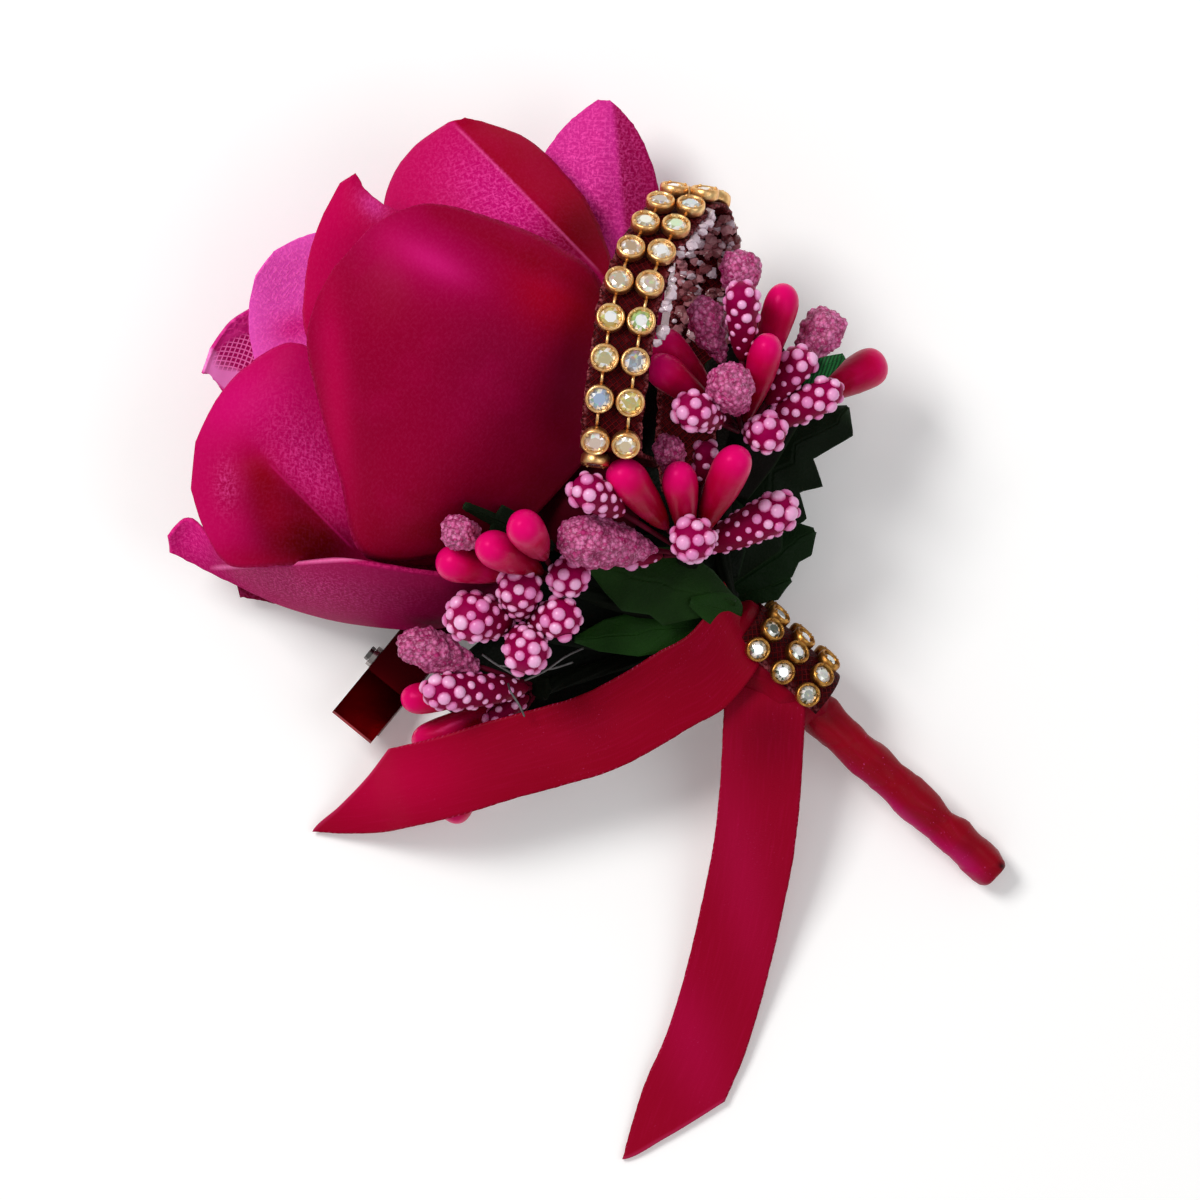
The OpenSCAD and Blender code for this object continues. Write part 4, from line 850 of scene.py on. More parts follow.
def addBerry(bm, kind, knob, berry, rng):
    middle, long, wide = Vector(berry[:3]), berry[3], berry[4]
    out = middle - Vector(knob)
    place = onto(middle, middle + out)
    one = bmesh.new()
    layer = one.verts.layers.float.new("along")
    one.verts.layers.float.new("shade")
    if kind == "sugared":
        bmesh.ops.create_icosphere(one, subdivisions=5, radius=1)
    else:
        bmesh.ops.create_uvsphere(one, u_segments=28, v_segments=18, radius=1)
    inset = spray["inset"][kind]
    seed = Vector((rng.random(), rng.random(), rng.random())) * 50
    foot = min(spray["foot"][kind] * long / 2, out.length - spray["knob"])

    def skin(z):  # width and height of the berry where a unit ball has height z
        grow = (1 + 0.1 * z) if z > 0 else (1 + spray["taper"][kind] * z)
        if (kind == "smooth" and 0 < z < 0.999) or (kind == "dotted" and -0.999 < z < 0):
            grow *= ((1 - abs(z) ** 2.8) / (1 - z * z)) ** 0.5
        return (wide / 2 - inset) * grow, z * ((long / 2 - inset) if z > 0 else (foot - inset))
    for vert in one.verts:
        z = vert.co.z
        vert[layer] = (z + 1) / 2
        r, high = skin(z)
        vert.co = Vector((vert.co.x * r, vert.co.y * r, high))
    one.normal_update()
    if kind == "sugared":
        for vert in one.verts:
            cell = noise.voronoi(vert.co / spray["crumb"] + seed)[0]
            bump = (0.55 - min(0.9, cell[0])) * 0.42
            lump = noise.noise(vert.co * 0.9 + seed) * 0.55
            vert.co += vert.normal * (bump + lump)
    if kind == "smooth":
        for vert in one.verts:
            vert.co += vert.normal * noise.noise(vert.co * 0.4 + seed) * 0.12
    if kind == "dotted":
        addBeads(one, skin, rng)
    addStalk(one, foot * 0.93, out.length)
    bmesh.ops.transform(one, matrix=place, verts=one.verts)
    pour(one, bm)


def makeBerries():
    stalks = cloudFinish("wire stalk", (46, 4, 14), (104, 6, 40), 1.2, 2, 0, {"Roughness": 0.5, "IOR": 1.15})
    beads = beadFinish()
    skins = {"smooth": (glossFinish(), "berry_gloss"), "dotted": (coreFinish(), "berry_dotted"),
             "sugared": (crumbFinish(), "berry_sugared")}
    for name, rows in berries.items():
        letter, kind = name.split("_")
        rng = random.Random("berries " + name)
        bm = bmesh.new()
        bm.verts.layers.float.new("along")
        bm.verts.layers.float.new("shade")
        for berry in rows:
            addBerry(bm, kind, knobs[letter], berry, rng)
        finish, slot = skins[kind]
        addPiece("berries_" + name, bm, [finish, stalks, beads], ["spray_" + name], slot)


makeBerries()


def tube(across, along, path, radius):  # a closed tube along path(t), with its own radius(t, around)
    def shape(t, v):
        here, around = path(t), (v + 1) * math.pi
        ahead = path(min(1, t + 0.01)) - path(max(0, t - 0.01))
        r = radius(t, around)
        return onto(here, here + ahead) @ Vector((r * math.cos(around), r * math.sin(around), 0))
    return closed(clothGrid(across, along, shape)[0])


# Where each bundle of wires runs, from the middle of its berries to the binding
bundles = {
    "a": [(34.4, 20.5, 22), (33.6, 19.6, 19), (32.4, 14, 14.5), (32.2, 6, 12), (33.2, -0.6, 10.8)],
    "b": [(28.2, 6.6, 21.4), (28.4, 6.2, 18), (29.2, 4.6, 14.4), (31.4, 1, 12.6), (33.4, -1.8, 11.6)],
    "c": [(13.6, 3.4, 19), (15, 2.8, 17.2), (20, 1, 15.4), (27, -1, 13), (32.6, -3.2, 11.6)],
    "d": [(11.0, -8.8, 10.4), (12.4, -8.4, 9.2), (18, -6.6, 8.6), (26, -4.6, 9.2), (32.2, -4.4, 10.4)],
    "e": [(8.8, -1.2, 18.8), (9.8, -1.8, 16), (14, -3.0, 12.6), (23, -4.0, 10.4), (32, -4.2, 10.8)],
}
grip = {"wide": 0.85, "knob": 1.5, "lobes": 6, "turns": 5, "deep": 0.2, "cells": (36, 60)}


def makeBundle(letter, line, tape):
    def radius(t, around):
        r = grip["wide"] + (grip["knob"] - grip["wide"]) * max(0, 1 - t * 7)
        r *= 1 if t > 0.02 else 0.45 + 27 * t
        return r * (1 + grip["deep"] * abs(math.cos(grip["lobes"] / 2 * (around + grip["turns"] * t))))
    bm = tube(*grip["cells"], lambda t: Vector(track(line, t)), radius)
    addPiece("wire_bundle_" + letter, bm, [tape], ["spray_" + letter + "_stem"], "stem_tape")


tape = cloudFinish("stem tape", (5, 8, 4), (15, 20, 10), 0.8, 3, 0.15, {"Roughness": 0.6, "IOR": 1.12})
for letter, line in bundles.items():
    makeBundle(letter, line, tape)

# Loose ends of wire under the lower berries
wireThick = 0.26
wires = [[(4.4, -4.9, 20), (5.8, -5.9, 19.4), (7.6, -7.0, 18), (8.6, -7.7, 16)],
         [(9.3, -7.9, 17), (11.6, -6.8, 19), (13.9, -5.2, 19), (16.0, -4.2, 17)],
         [(9.2, -12.1, 14.6), (8.6, -10.8, 15.4), (7.6, -9.2, 15.6), (7.3, -8.3, 14)],
         [(6.2, -6.2, 19), (8.8, -6.4, 19.6), (12.0, -6.6, 18.6), (14.8, -5.8, 17)]]


def makeWires():
    finish = cloudFinish("bare wire", (60, 62, 66), (128, 128, 126), 0.8, 2, 0,
                         {"Roughness": 0.4, "Metallic": 0.6})
    bm = bmesh.new()
    for line in wires:
        pour(tube(8, 24, lambda t: Vector(track(line, t)), lambda t, around: wireThick / 2), bm)
    addPiece("loose_wires", bm, [finish], (), "spring_steel")


makeWires()
print("berries made")


# ---- leaves

leaf = {"wall": 0.45, "cells": (16, 60), "tooth": 1.3}
# Root, tip, bow of the middle and fold along the rib, then half width, where it is widest and teeth on each
# edge, or the two edges as (share of the length, distance from the rib) pairs
# The near-black dyes of under_tail, behind, upper, inner and deep are partly the leaves' dark green and
# partly painted shade where they lie under the sprays; inner and deep are dark sheets laid only where shade
# shows between the sprays.
leaves = {
    "right_upper": {"root": (30.6, 2.0, 8.6), "tip": (46.6, 22.4, 9), "bow": 0.8, "fold": 0.8,
                    "dye": (9, 18, 7),
                    "left": [(0, -0.6), (0.3, -5.0), (0.45, -6.6), (0.58, -7.2), (0.7, -6.2), (0.81, -5.2),
                             (0.88, -3.9), (1.0, -2.4), (1.05, -0.8)],
                    "right": [(0, 0.6), (0.2, 2.2), (0.36, 3.6), (0.42, 2.4), (0.54, 3.6), (0.616, 0.9),
                              (0.70, 2.7), (0.77, -0.2), (0.86, 0.7), (0.965, 1.8), (1.05, -0.7)]},
    "right_middle": {"root": (31.6, 1.6, 6.6), "tip": (43.0, 9.5, 5.8), "bow": 0.5, "fold": 0.4,
                     "dye": (10, 26, 8),
                     "left": [(0, -0.4), (0.4, -2.6), (0.6, -3.0), (0.78, -2.4), (0.86, -3.0), (1.0, -0.2)],
                     "right": [(0, 0.4), (0.4, 2.4), (0.62, 3.0), (0.74, 2.0), (0.86, 2.2), (1.0, 0.2)]},
    "right_lower": {"root": (32.2, 1.6, 4.8), "tip": (40.3, 3.8, 4.2), "bow": 0.3, "fold": 0.3,
                    "dye": (12, 30, 9),
                    "left": [(0, -0.4), (0.4, -1.9), (0.7, -1.7), (0.82, -1.2), (1.0, -0.15)],
                    "right": [(0, 0.4), (0.4, 1.8), (0.75, 1.9), (0.9, 0.8), (1.0, 0.15)]},
    "light": {"root": (33.6, 1.0, 15.4), "tip": (16.4, 5.6, 19.2), "bow": 1.0, "fold": 0.8,
              "dye": (15, 34, 8),
              "left": [(0, -0.4), (0.2, -2.6), (0.42, -4.6), (0.52, -3.8), (0.7, -4.2), (0.84, -2.6),
                       (1, -0.2)],
              "right": [(0, 0.4), (0.2, 3.0), (0.45, 4.6), (0.58, 3.9), (0.75, 4.0), (0.88, 2.4), (1, 0.2)]},
    "left_tip": {"root": (33.0, -1.6, 13.4), "tip": (15.0, -3.2, 14.6), "bow": 0.4, "fold": 0.3,
                 "dye": (17, 42, 9),
                 "left": [(0, -0.4), (0.3, -2.2), (0.6, -2.6), (0.85, -1.6), (1, -0.2)],
                 "right": [(0, 0.4), (0.25, 2.8), (0.5, 3.4), (0.6, 2.6), (0.8, 2.0), (1, 0.2)]},
    "under_tail": {"root": (31.8, -4.0, 7.6), "tip": (-1.0, -10.4, 5.2), "bow": 0.6, "fold": 0.4,
                   "dye": (6, 10, 5),
                   "left": [(0, -0.6), (0.2, -3.8), (0.5, -4.5), (0.8, -4.0), (0.95, -2), (1, -0.3)],
                   "right": [(0, 0.8), (0.15, 6.4), (0.4, 8.4), (0.6, 8.0), (0.8, 6.2), (0.92, 4), (1, 0.4)]},
    "behind": {"root": (31.2, 3.2, 10.9), "tip": (23.8, 27.2, 8), "bow": 0.4, "fold": 0.5, "dye": (7, 13, 6),
               "left": [(0, -3.0), (0.12, -5.2), (0.3, -6.0), (0.36, -5.0), (0.5, -5.4), (0.58, -4.0),
                        (0.8, -3.0), (1, -0.3)],
               "right": [(0, 3.0), (0.1, 4.6), (0.3, 6.0), (0.36, 5.2), (0.5, 5.6), (0.58, 4.6), (0.8, 3.4),
                         (1, 0.3)]},
    "small": {"root": (12.6, 7.4, 20.8), "tip": (2.4, 12.2, 30.02), "half": 1.5, "full": 0.85, "bow": 1.5,
              "fold": 0.3, "teeth": 1, "dye": (10, 18, 8)},
    "thread": {"root": (39.2, 25.6, 22.4), "tip": (46.0, 29.4, 24.0), "half": 1.4, "full": 0.8, "bow": 0.3,
               "fold": 0.2, "teeth": 0, "dye": (16, 60, 28), "ribs": 0.6},
    "round": {"root": (34.2, -0.4, 14.4), "tip": (28.4, 1.2, 18.0), "half": 2.1, "full": 0.62, "bow": 0.4,
              "fold": 0.5, "teeth": 0, "dye": (16, 38, 9)},
    "inner": {"root": (34.0, 1.4, 9.6), "tip": (7.4, 3.6, 11.2), "bow": 0.5, "fold": 0.5, "dye": (5, 9, 4),
              "left": [(0, -0.6), (0.2, -4), (0.5, -5.4), (0.8, -4.4), (1, -0.4)],
              "right": [(0, 0.6), (0.15, 4), (0.35, 7), (0.5, 6.2), (0.8, 4.6), (1, 0.4)]},
    "deep": {"root": (31.6, 0.4, 8.6), "tip": (17.0, 17.6, 9.4), "half": 4.6, "full": 0.9, "bow": 0.5,
             "fold": 0.4, "teeth": 0, "dye": (8, 12, 6)},
    "upper": {"root": (33.6, 13.4, 11.4), "tip": (36.4, 34.4, 13.6), "bow": 0.6, "fold": 0.6,
              "dye": (10, 8, 5),
              "left": [(0, -2.4), (0.2, -5.2), (0.45, -6.4), (0.7, -5.4), (0.9, -3), (1, -0.4)],
              "right": [(0, 1.6), (0.2, 4.2), (0.45, 6.4), (0.6, 6.2), (0.8, 4), (1, 0.4)]},
}


def leafEdge(one, t, side):  # distance of an edge from the rib
    table = one.get("left" if side < 0 else "right")
    if table:
        return between(table, t * table[-1][0])
    saw = (t * (one["teeth"] + 0.5)) % 1
    tooth = 0 if t < 0.08 or t > 0.95 or not one["teeth"] else leaf["tooth"] * (saw - 0.5)
    full = max(0, math.sin(math.pi * t ** one["full"])) ** 0.8
    half = one["half"] * (0.12 + 0.88 * full) * (0.25 if t > 0.999 else 1)
    return side * max(0.3, half + tooth)


def leafFinish(name, one):
    finish = Finish("leaf " + name, {"Roughness": 0.5, "IOR": 1.16})
    u, t = finish.parts(finish.map("place"))[:2]
    side = abs(u * 2 - 1)
    base = dye(*one["dye"])
    light = dye(*[min(255, c * 1.5 + 4) for c in one["dye"]])
    vein = ((t * 9 - side * 2.2) * (2 * math.pi)).sine().step(0.86, 1.0) * (1 - side) * 0.5
    rib = 1 - side.step(0.02, 0.07)
    weave = finish.woven(finish.map("threads"), 0.3)
    cloud = finish.noise(finish.place(), 3.0, 3)
    colour = finish.mix(cloud, base, light)
    if "ribs" in one:  # thick silk threads laid side by side
        x, y = finish.parts(finish.map("threads"))[:2]
        ribs = ((y + x * 1.2) * (2 * math.pi / one["ribs"])).sine() * 0.5 + 0.5
        colour = finish.mix(ribs, dye(8, 34, 16), light)
    colour = finish.mix((vein + rib * 0.6).clamped() * 0.5, colour, light)
    colour = finish.mix(weave * 0.2, colour, light)
    rim = side.most(t).step(0.93, 1.0)
    colour = finish.mix(rim * 0.25, colour, dye(44, 72, 40))
    finish.feed("Base Color", colour)
    finish.feed("Roughness", 0.42 + weave * 0.2)
    finish.relief(weave * 0.3 + cloud * 0.6 - rib * 0.8 - vein * 0.6, 0.1)
    return finish


def makeLeaf(name, one):
    root, tip = Vector(one["root"]), Vector(one["tip"])
    flat = Vector((tip.x - root.x, tip.y - root.y, 0)).normalized()
    right = Vector((flat.y, -flat.x, 0))
    reach = one["right"][-1][0] if "right" in one else 1

    def shape(t, v):
        low, high = leafEdge(one, t, -1), leafEdge(one, t, 1)
        aside = low + (high - low) * (v + 1) / 2
        here = root + (tip - root) * t * reach + right * aside
        here.z += one["bow"] * math.sin(math.pi * t) - one["fold"] * abs(v)
        here.z += noise.noise(here * 0.35) * 0.18
        return here
    bm, wide, long = clothGrid(*leaf["cells"], shape)
    area = areaOf(bm)
    nodes = ["leaf_" + name] if "leaf_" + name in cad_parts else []
    finish = leafFinish(name, one)
    piece = addPiece("leaf_cloth_" + name, bm, [finish], nodes, "leaf_cloth", thick=leaf["wall"])
    layCloth(area, wide, long)


for name, one in leaves.items():
    makeLeaf(name, one)
print("leaves made")


# ---- stone band

band = {
    "wide": 7.0,
    "wall": 0.45,
    "cells": (12, 150),
    "cup": 1.68,        # outer radius of a cup
    "cupHigh": 1.4,
    "stone": 0.76,      # a stone's share of its cup
    "seat": 0.56,       # where a stone lies, as a share of the cup's height
    "over": 0.28,       # how far a cup stands off the strip
    "rod": 0.2,         # radius of the links between the cups, and how far above their feet they run
    "rodHigh": 0.35,
    "gap": 3.5,         # spacing of the two columns
    "pitch": 4.42,      # spacing of the rows
    "first": 16.8,      # where the first whole row is, along the strip; one cup lies before it
    "rows": 16,
    "steps": 240,       # lengths that the strip is measured in
    "side": Vector((0.99, -0.12, 0)).normalized(),
    "line": [(21.2, 17.2, 20.4), (20.9, 17.9, 24), (20.0, 18.1, 28.6), (19.3, 18.3, 32.6), (19.2, 19.4, 36.2),
             (19.6, 23.6, 37.3), (20.2, 28.5, 37.6), (20.9, 33.1, 36.8), (21.9, 37.2, 35.2),
             (23.4, 41.0, 32.6), (25.2, 43.9, 29.4), (26.8, 46.0, 26.2), (28.2, 47.2, 22.8),
             (29.4, 46.8, 19.4), (30.2, 44.8, 16.6), (30.4, 41.6, 14.8), (30.0, 37.0, 13.6),
             (29.0, 31.0, 13), (28.2, 25.0, 12.6), (28.0, 19.0, 12.4), (28.6, 13.4, 12.2)],
}
# Tints of the coated stones, row by row, left and right
stoneTints = [(236, 214, 206), (250, 236, 196), (170, 196, 236), (238, 232, 150), (214, 206, 158),
              (176, 190, 222), (238, 226, 140), (178, 226, 150), (244, 240, 232), (250, 246, 240),
              (232, 212, 190), (246, 246, 236), (216, 214, 190), (196, 220, 176), (214, 206, 200),
              (206, 222, 230)]


def bandPoint(t):
    return Vector(track(band["line"], min(1, max(0, t))))


def measureBand():
    runs = [0]
    for k in range(band["steps"]):
        runs.append(runs[-1] + (bandPoint((k + 1) / band["steps"]) - bandPoint(k / band["steps"])).length)
    return runs


bandRuns = measureBand()
bandLong = bandRuns[-1]


def bandAt(s):  # point on the strip's middle line, direction along it and direction out of its face
    s = max(0, min(bandLong - 1e-6, s))
    i = next(k for k in range(band["steps"]) if bandRuns[k + 1] > s)
    t = (i + (s - bandRuns[i]) / (bandRuns[i + 1] - bandRuns[i])) / band["steps"]
    along = (bandPoint(t + 0.01) - bandPoint(t - 0.01)).normalized()
    return bandPoint(t), along, band["side"].cross(along).normalized()


def netFinish():
    finish = Finish("band net", {"Roughness": 0.55, "IOR": 1.15})
    u, v = finish.parts(finish.map("threads"))[:2]
    first, second = (abs((slant * (math.pi / 0.8)).sine()).step(0.0, 0.5) for slant in (u + v, u - v))
    lines = first.least(second)
    cloud = finish.noise(finish.place(), 0.9, 3)
    colour = finish.mix(lines, dye(112, 16, 22), dye(44, 0, 4))
    colour = finish.mix(cloud.step(0.5, 0.8) * 0.3, colour, dye(134, 30, 40))
    across = finish.parts(finish.map("place"))[0]
    ravel = abs(across * 2 - 1).step(0.8, 0.98) * finish.noise(finish.place(), 0.4, 2).step(0.45, 0.6)
    colour = finish.mix(ravel * 0.6, colour, dye(190, 96, 104))
    finish.feed("Base Color", colour)
    finish.relief(1 - lines, 0.15)
    return finish


def makeStrip():
    def shape(t, v):
        here, along, out = bandAt(bandLong * t * 0.9999)
        ragged = noise.noise(here * 1.3 + Vector((v, 0, 0))) * 0.3 * abs(v) ** 6
        return here - band["side"] * (v * (band["wide"] / 2 + ragged)) + out * noise.noise(here * 0.8) * 0.08
    bm, wide, long = clothGrid(*band["cells"], shape)
    area = areaOf(bm)
    piece = addPiece("band_net", bm, [netFinish()], ["band_strip"], "band_mesh", thick=band["wall"])
    layCloth(area, wide, long)


def goldFinish(name, bright, dark):
    finish = Finish(name, {"Metallic": 1.0, "Roughness": 0.25})
    cloud = finish.noise(finish.place(), 0.8, 3)
    colour = finish.mix(cloud.step(0.3, 0.75), bright, dark)
    finish.feed("Base Color", colour)
    finish.feed("Roughness", 0.18 + cloud * 0.35)
    finish.relief(finish.noise(finish.place(), 0.3, 2), 0.03)
    return finish


def stoneFinish(name, dark):
    finish = Finish(name, {"Roughness": 0.06, "IOR": 1.9, "Coat Weight": 1.0, "Coat Roughness": 0.03,
                           "Specular IOR Level": 0.7})
    tint = finish.node("Attribute", {"attribute_name": "tint"}, {}, "Color")
    facet = finish.own("facet")
    # Each facet gets a random brightness: darker facets are painted reflections, the brightest turn white as
    # painted glints, and the coloured cells are painted flashes off the coating.
    colour = finish.mix(facet.step(0.2, 0.6), finish.mix(1.0, tint, dark, "MULTIPLY"), tint)
    colour = finish.mix(facet.step(0.6, 0.7), colour, (1, 1, 1, 1))
    cloud = finish.noise(finish.place(), 0.7, 2)
    red, green, blue = finish.parts(finish.cells(finish.place(), 0.5, out="Color"))
    flash = finish.node("CombineColor", {}, {0: red, 1: green, 2: blue})
    colour = finish.mix(cloud.step(0.52, 0.7) * 0.45, colour, flash)
    finish.feed("Base Color", colour)
    finish.feed("Metallic", facet.step(0.1, 0.6) * 0.25)
    return finish


def cupTemplate(name, radius, high):
    bm = bmesh.new()
    r, h = radius, high
    turned(bm, [(0, 0), (r * 0.86, 0), (r * 0.98, h * 0.2), (r, h * 0.6), (r * 0.97, h * 0.88), (r * 0.88, h),
                (r * 0.8, h * 0.97), (r * 0.75, h * 0.76), (r * 0.73, h * 0.5), (0, h * 0.5)], 24)
    for k in range(4):
        turn = math.radians(45 + 90 * k)
        claw = Matrix.Translation((r * 0.78 * math.cos(turn), r * 0.78 * math.sin(turn), h * 0.97))
        bmesh.ops.create_icosphere(bm, subdivisions=1, radius=r * 0.13, matrix=claw)
    for face in bm.faces:
        face.smooth = True
    return templateFrom(bm, name)


def stoneTemplate(name, radius):
    bm = bmesh.new()
    rings = [(16, 1.0, 0.0, 0), (16, 1.0, 0.1, 0), (8, 0.86, 0.24, 0), (8, 0.56, 0.42, 22.5)]
    for count, size, high, turn in rings:
        place = Matrix.Translation((0, 0, radius * high)) @ Matrix.Rotation(math.radians(turn), 4, "Z")
        bmesh.ops.create_circle(bm, segments=count, radius=radius * size, matrix=place)
    hull = bmesh.ops.convex_hull(bm, input=bm.verts)
    spare = [part for part in hull["geom_interior"] + hull["geom_unused"] if part.is_valid]
    spare = [part for part in spare if isinstance(part, bmesh.types.BMVert)]
    bmesh.ops.delete(bm, geom=spare, context="VERTS")
    bmesh.ops.dissolve_limit(bm, angle_limit=0.02, verts=bm.verts, edges=bm.edges)
    bmesh.ops.recalc_face_normals(bm, faces=bm.faces)
    return templateFrom(bm, name)


def setStone(bm, mesh, seat, high, tint, rng):
    place = seat @ Matrix.Translation((0, 0, high * band["seat"])) @ Matrix.Rotation(rng.random(), 4, "Z")
    linear = dye(*tint)
    stamp(bm, mesh, place, {"facet": ("FLOAT", "FACE", rng.random),
                            "tint": ("FLOAT_COLOR", "CORNER", lambda: linear)})


def stoneMesh():
    bm = bmesh.new()
    bm.loops.layers.float_color.new("tint")
    bm.faces.layers.float.new("facet")
    return bm


def seatMatrix(at, along, out):
    side = out.cross(along).normalized()
    along = side.cross(out).normalized()
    return Matrix.Translation(at) @ Matrix((along, side, out)).transposed().to_4x4()


# Broken glass on the band: how far along it and across it, how deep under its face and how pale
chips = {
    "loop": {"count": 200, "along": (57, 74), "across": (-3.4, 3.7), "under": (0.3, 1.0), "shade": (0, 1)},
    "edge": {"count": 40, "along": (28, 50), "across": (3.2, 4.6), "under": (-0.2, 0.5), "shade": (0.87, 1)},
}
chipSize = (0.35, 0.95)


def chipFinish():
    finish = Finish("glass chips", {"Roughness": 0.16, "Specular IOR Level": 0.6})
    shade = finish.own("shade")
    colour = finish.mix(shade, dye(110, 36, 42), dye(206, 146, 154))
    colour = finish.mix(shade.step(0.8, 0.84), colour, dye(206, 186, 198))
    finish.feed("Base Color", colour)
    finish.relief(finish.noise(finish.place(), 0.4, 2), 0.1)
    return finish


def makeChips(rng):
    one = bmesh.new()
    bmesh.ops.create_icosphere(one, subdivisions=1, radius=1)
    for vert in one.verts:
        vert.co *= 1 + 0.35 * noise.noise(vert.co * 2.3)
    chip = templateFrom(one, "chip")
    bm = bmesh.new()
    bm.verts.layers.float.new("shade")
    for sort in chips.values():
        for k in range(sort["count"]):
            here, along, out = bandAt(rng.uniform(*sort["along"]))
            across = rng.uniform(*sort["across"])
            size = rng.uniform(*chipSize)
            at = here + band["side"] * across - out * rng.uniform(*sort["under"])
            turn = Matrix.Rotation(rng.random() * 6, 4, "X") @ Matrix.Rotation(rng.random() * 6, 4, "Z")
            shade = rng.uniform(*sort["shade"])
            flat = Matrix.Diagonal((size, size * 0.8, size * 0.6, 1))
            place = Matrix.Translation(at) @ turn @ flat
            stamp(bm, chip, place, {"shade": ("FLOAT", "POINT", lambda: shade)})
    addPiece("glass_chips", bm, [chipFinish()], (), "crystal", smooth=False)


def makeBand():
    makeStrip()
    rng = random.Random("stones")
    cupShape = cupTemplate("cup", band["cup"], band["cupHigh"])
    stoneShape = stoneTemplate("stone", band["cup"] * band["stone"])
    cups, stones = bmesh.new(), stoneMesh()
    for column in (-1, 1):
        last = None
        for k in range(-1 if column < 0 else 0, band["rows"]):
            s = band["first"] + k * band["pitch"]
            here, along, out = bandAt(s)
            here = here + band["side"] * (column * band["gap"] / 2) + out * (band["wall"] / 2 + band["over"])
            seat = seatMatrix(here, along, out)
            stamp(cups, cupShape, seat)
            tint = stoneTints[(2 * k + (column > 0)) % len(stoneTints)]
            setStone(stones, stoneShape, seat, band["cupHigh"], tint, rng)
            if last:
                lift, run = out * band["rodHigh"], (here - last).length
                place = onto(last + lift, here + lift) @ Matrix.Translation((0, 0, run / 2))
                bmesh.ops.create_cone(cups, cap_ends=True, segments=8, radius1=band["rod"],
                                      radius2=band["rod"], depth=run - 2.4, matrix=place)
            last = here
    makeChips(rng)
    gold = goldFinish("gilt", dye(252, 214, 150), dye(214, 144, 80))
    addPiece("gilt_cups", cups, [gold], ["band_cups"], "gilt_cup")
    coated = stoneFinish("coated stone", dye(196, 180, 158))
    addPiece("coated_stones", stones, [coated], ["band_stones"], "crystal", smooth=False)


makeBand()
print("band made")


# ---- stem, binding and satin tails

stem = {"turn": -42, "long": 66, "thick": 4.6, "bindingAt": 21.5, "bindingLong": 16}
turn = math.radians(stem["turn"])
fall = math.asin((rose["base"][2] - stem["thick"] / 2) / stem["long"])
stemRun = Vector((math.cos(turn) * math.cos(fall), math.sin(turn) * math.cos(fall), -math.sin(fall)))
stemSide = Vector((-math.sin(turn), math.cos(turn), 0))
stemUp = stemRun.cross(stemSide)


def onStem(d, aside=0.0, up=0.0):
    return Vector(rose["base"]) + stemRun * d + stemSide * aside + stemUp * up


def satinFinish(name, strokes, base, high, dotted=False, glints=0.25, index=1.12):
    finish = Finish(name, {"Roughness": 0.4, "Sheen Weight": 0.03, "Sheen Roughness": 0.3,
                           "Sheen Tint": dye(255, 60, 130), "IOR": index})
    colour = finish.painted(dye(*base), strokes, high)
    threads = finish.map("threads")
    v = finish.parts(threads)[1]
    streak = finish.noise(finish.stretched(threads, 1, 0.06), 0.3, 3)
    colour = finish.mix(streak.step(0.5, 0.85) * 0.1, colour, dye(214, 20, 96))
    # Pale magenta flecks in patches: painted glints on the satin.
    glint = finish.noise(finish.stretched(threads, 1, 0.5), 0.22, 2, 0.7).step(0.66, 0.72)
    patches = finish.noise(finish.place(), 5, 2).step(0.48, 0.66)
    colour = finish.mix(glint * patches * glints, colour, dye(240, 80, 160))
    ribs = (v * (2 * math.pi / 0.32)).sine() * 0.5 + 0.5
    if dotted:  # pale stitches along both edges, and a pale cut end
        a, t = finish.parts(finish.map("place"))[:2]
        edge = abs(a * 2 - 1).step(0.955, 0.985)
        broken = finish.noise(finish.place(), 1.4, 3, 0.7)
        stitch = ((v * (2 * math.pi / 0.7)).sine() * broken).step(0.38, 0.6)
        colour = finish.mix(edge * stitch * t.step(0.12, 0.3) * 0.5, colour, dye(232, 90, 150))
        ends = t.step(0.985, 1.0)
        colour = finish.mix(ends * 0.3, colour, dye(226, 70, 130))
    finish.feed("Base Color", colour)
    finish.feed("Roughness", 0.33 + streak * 0.14)
    finish.relief(ribs * 0.1 + streak * 0.08 + finish.noise(finish.place(), 2.5, 2), 0.04)
    return finish


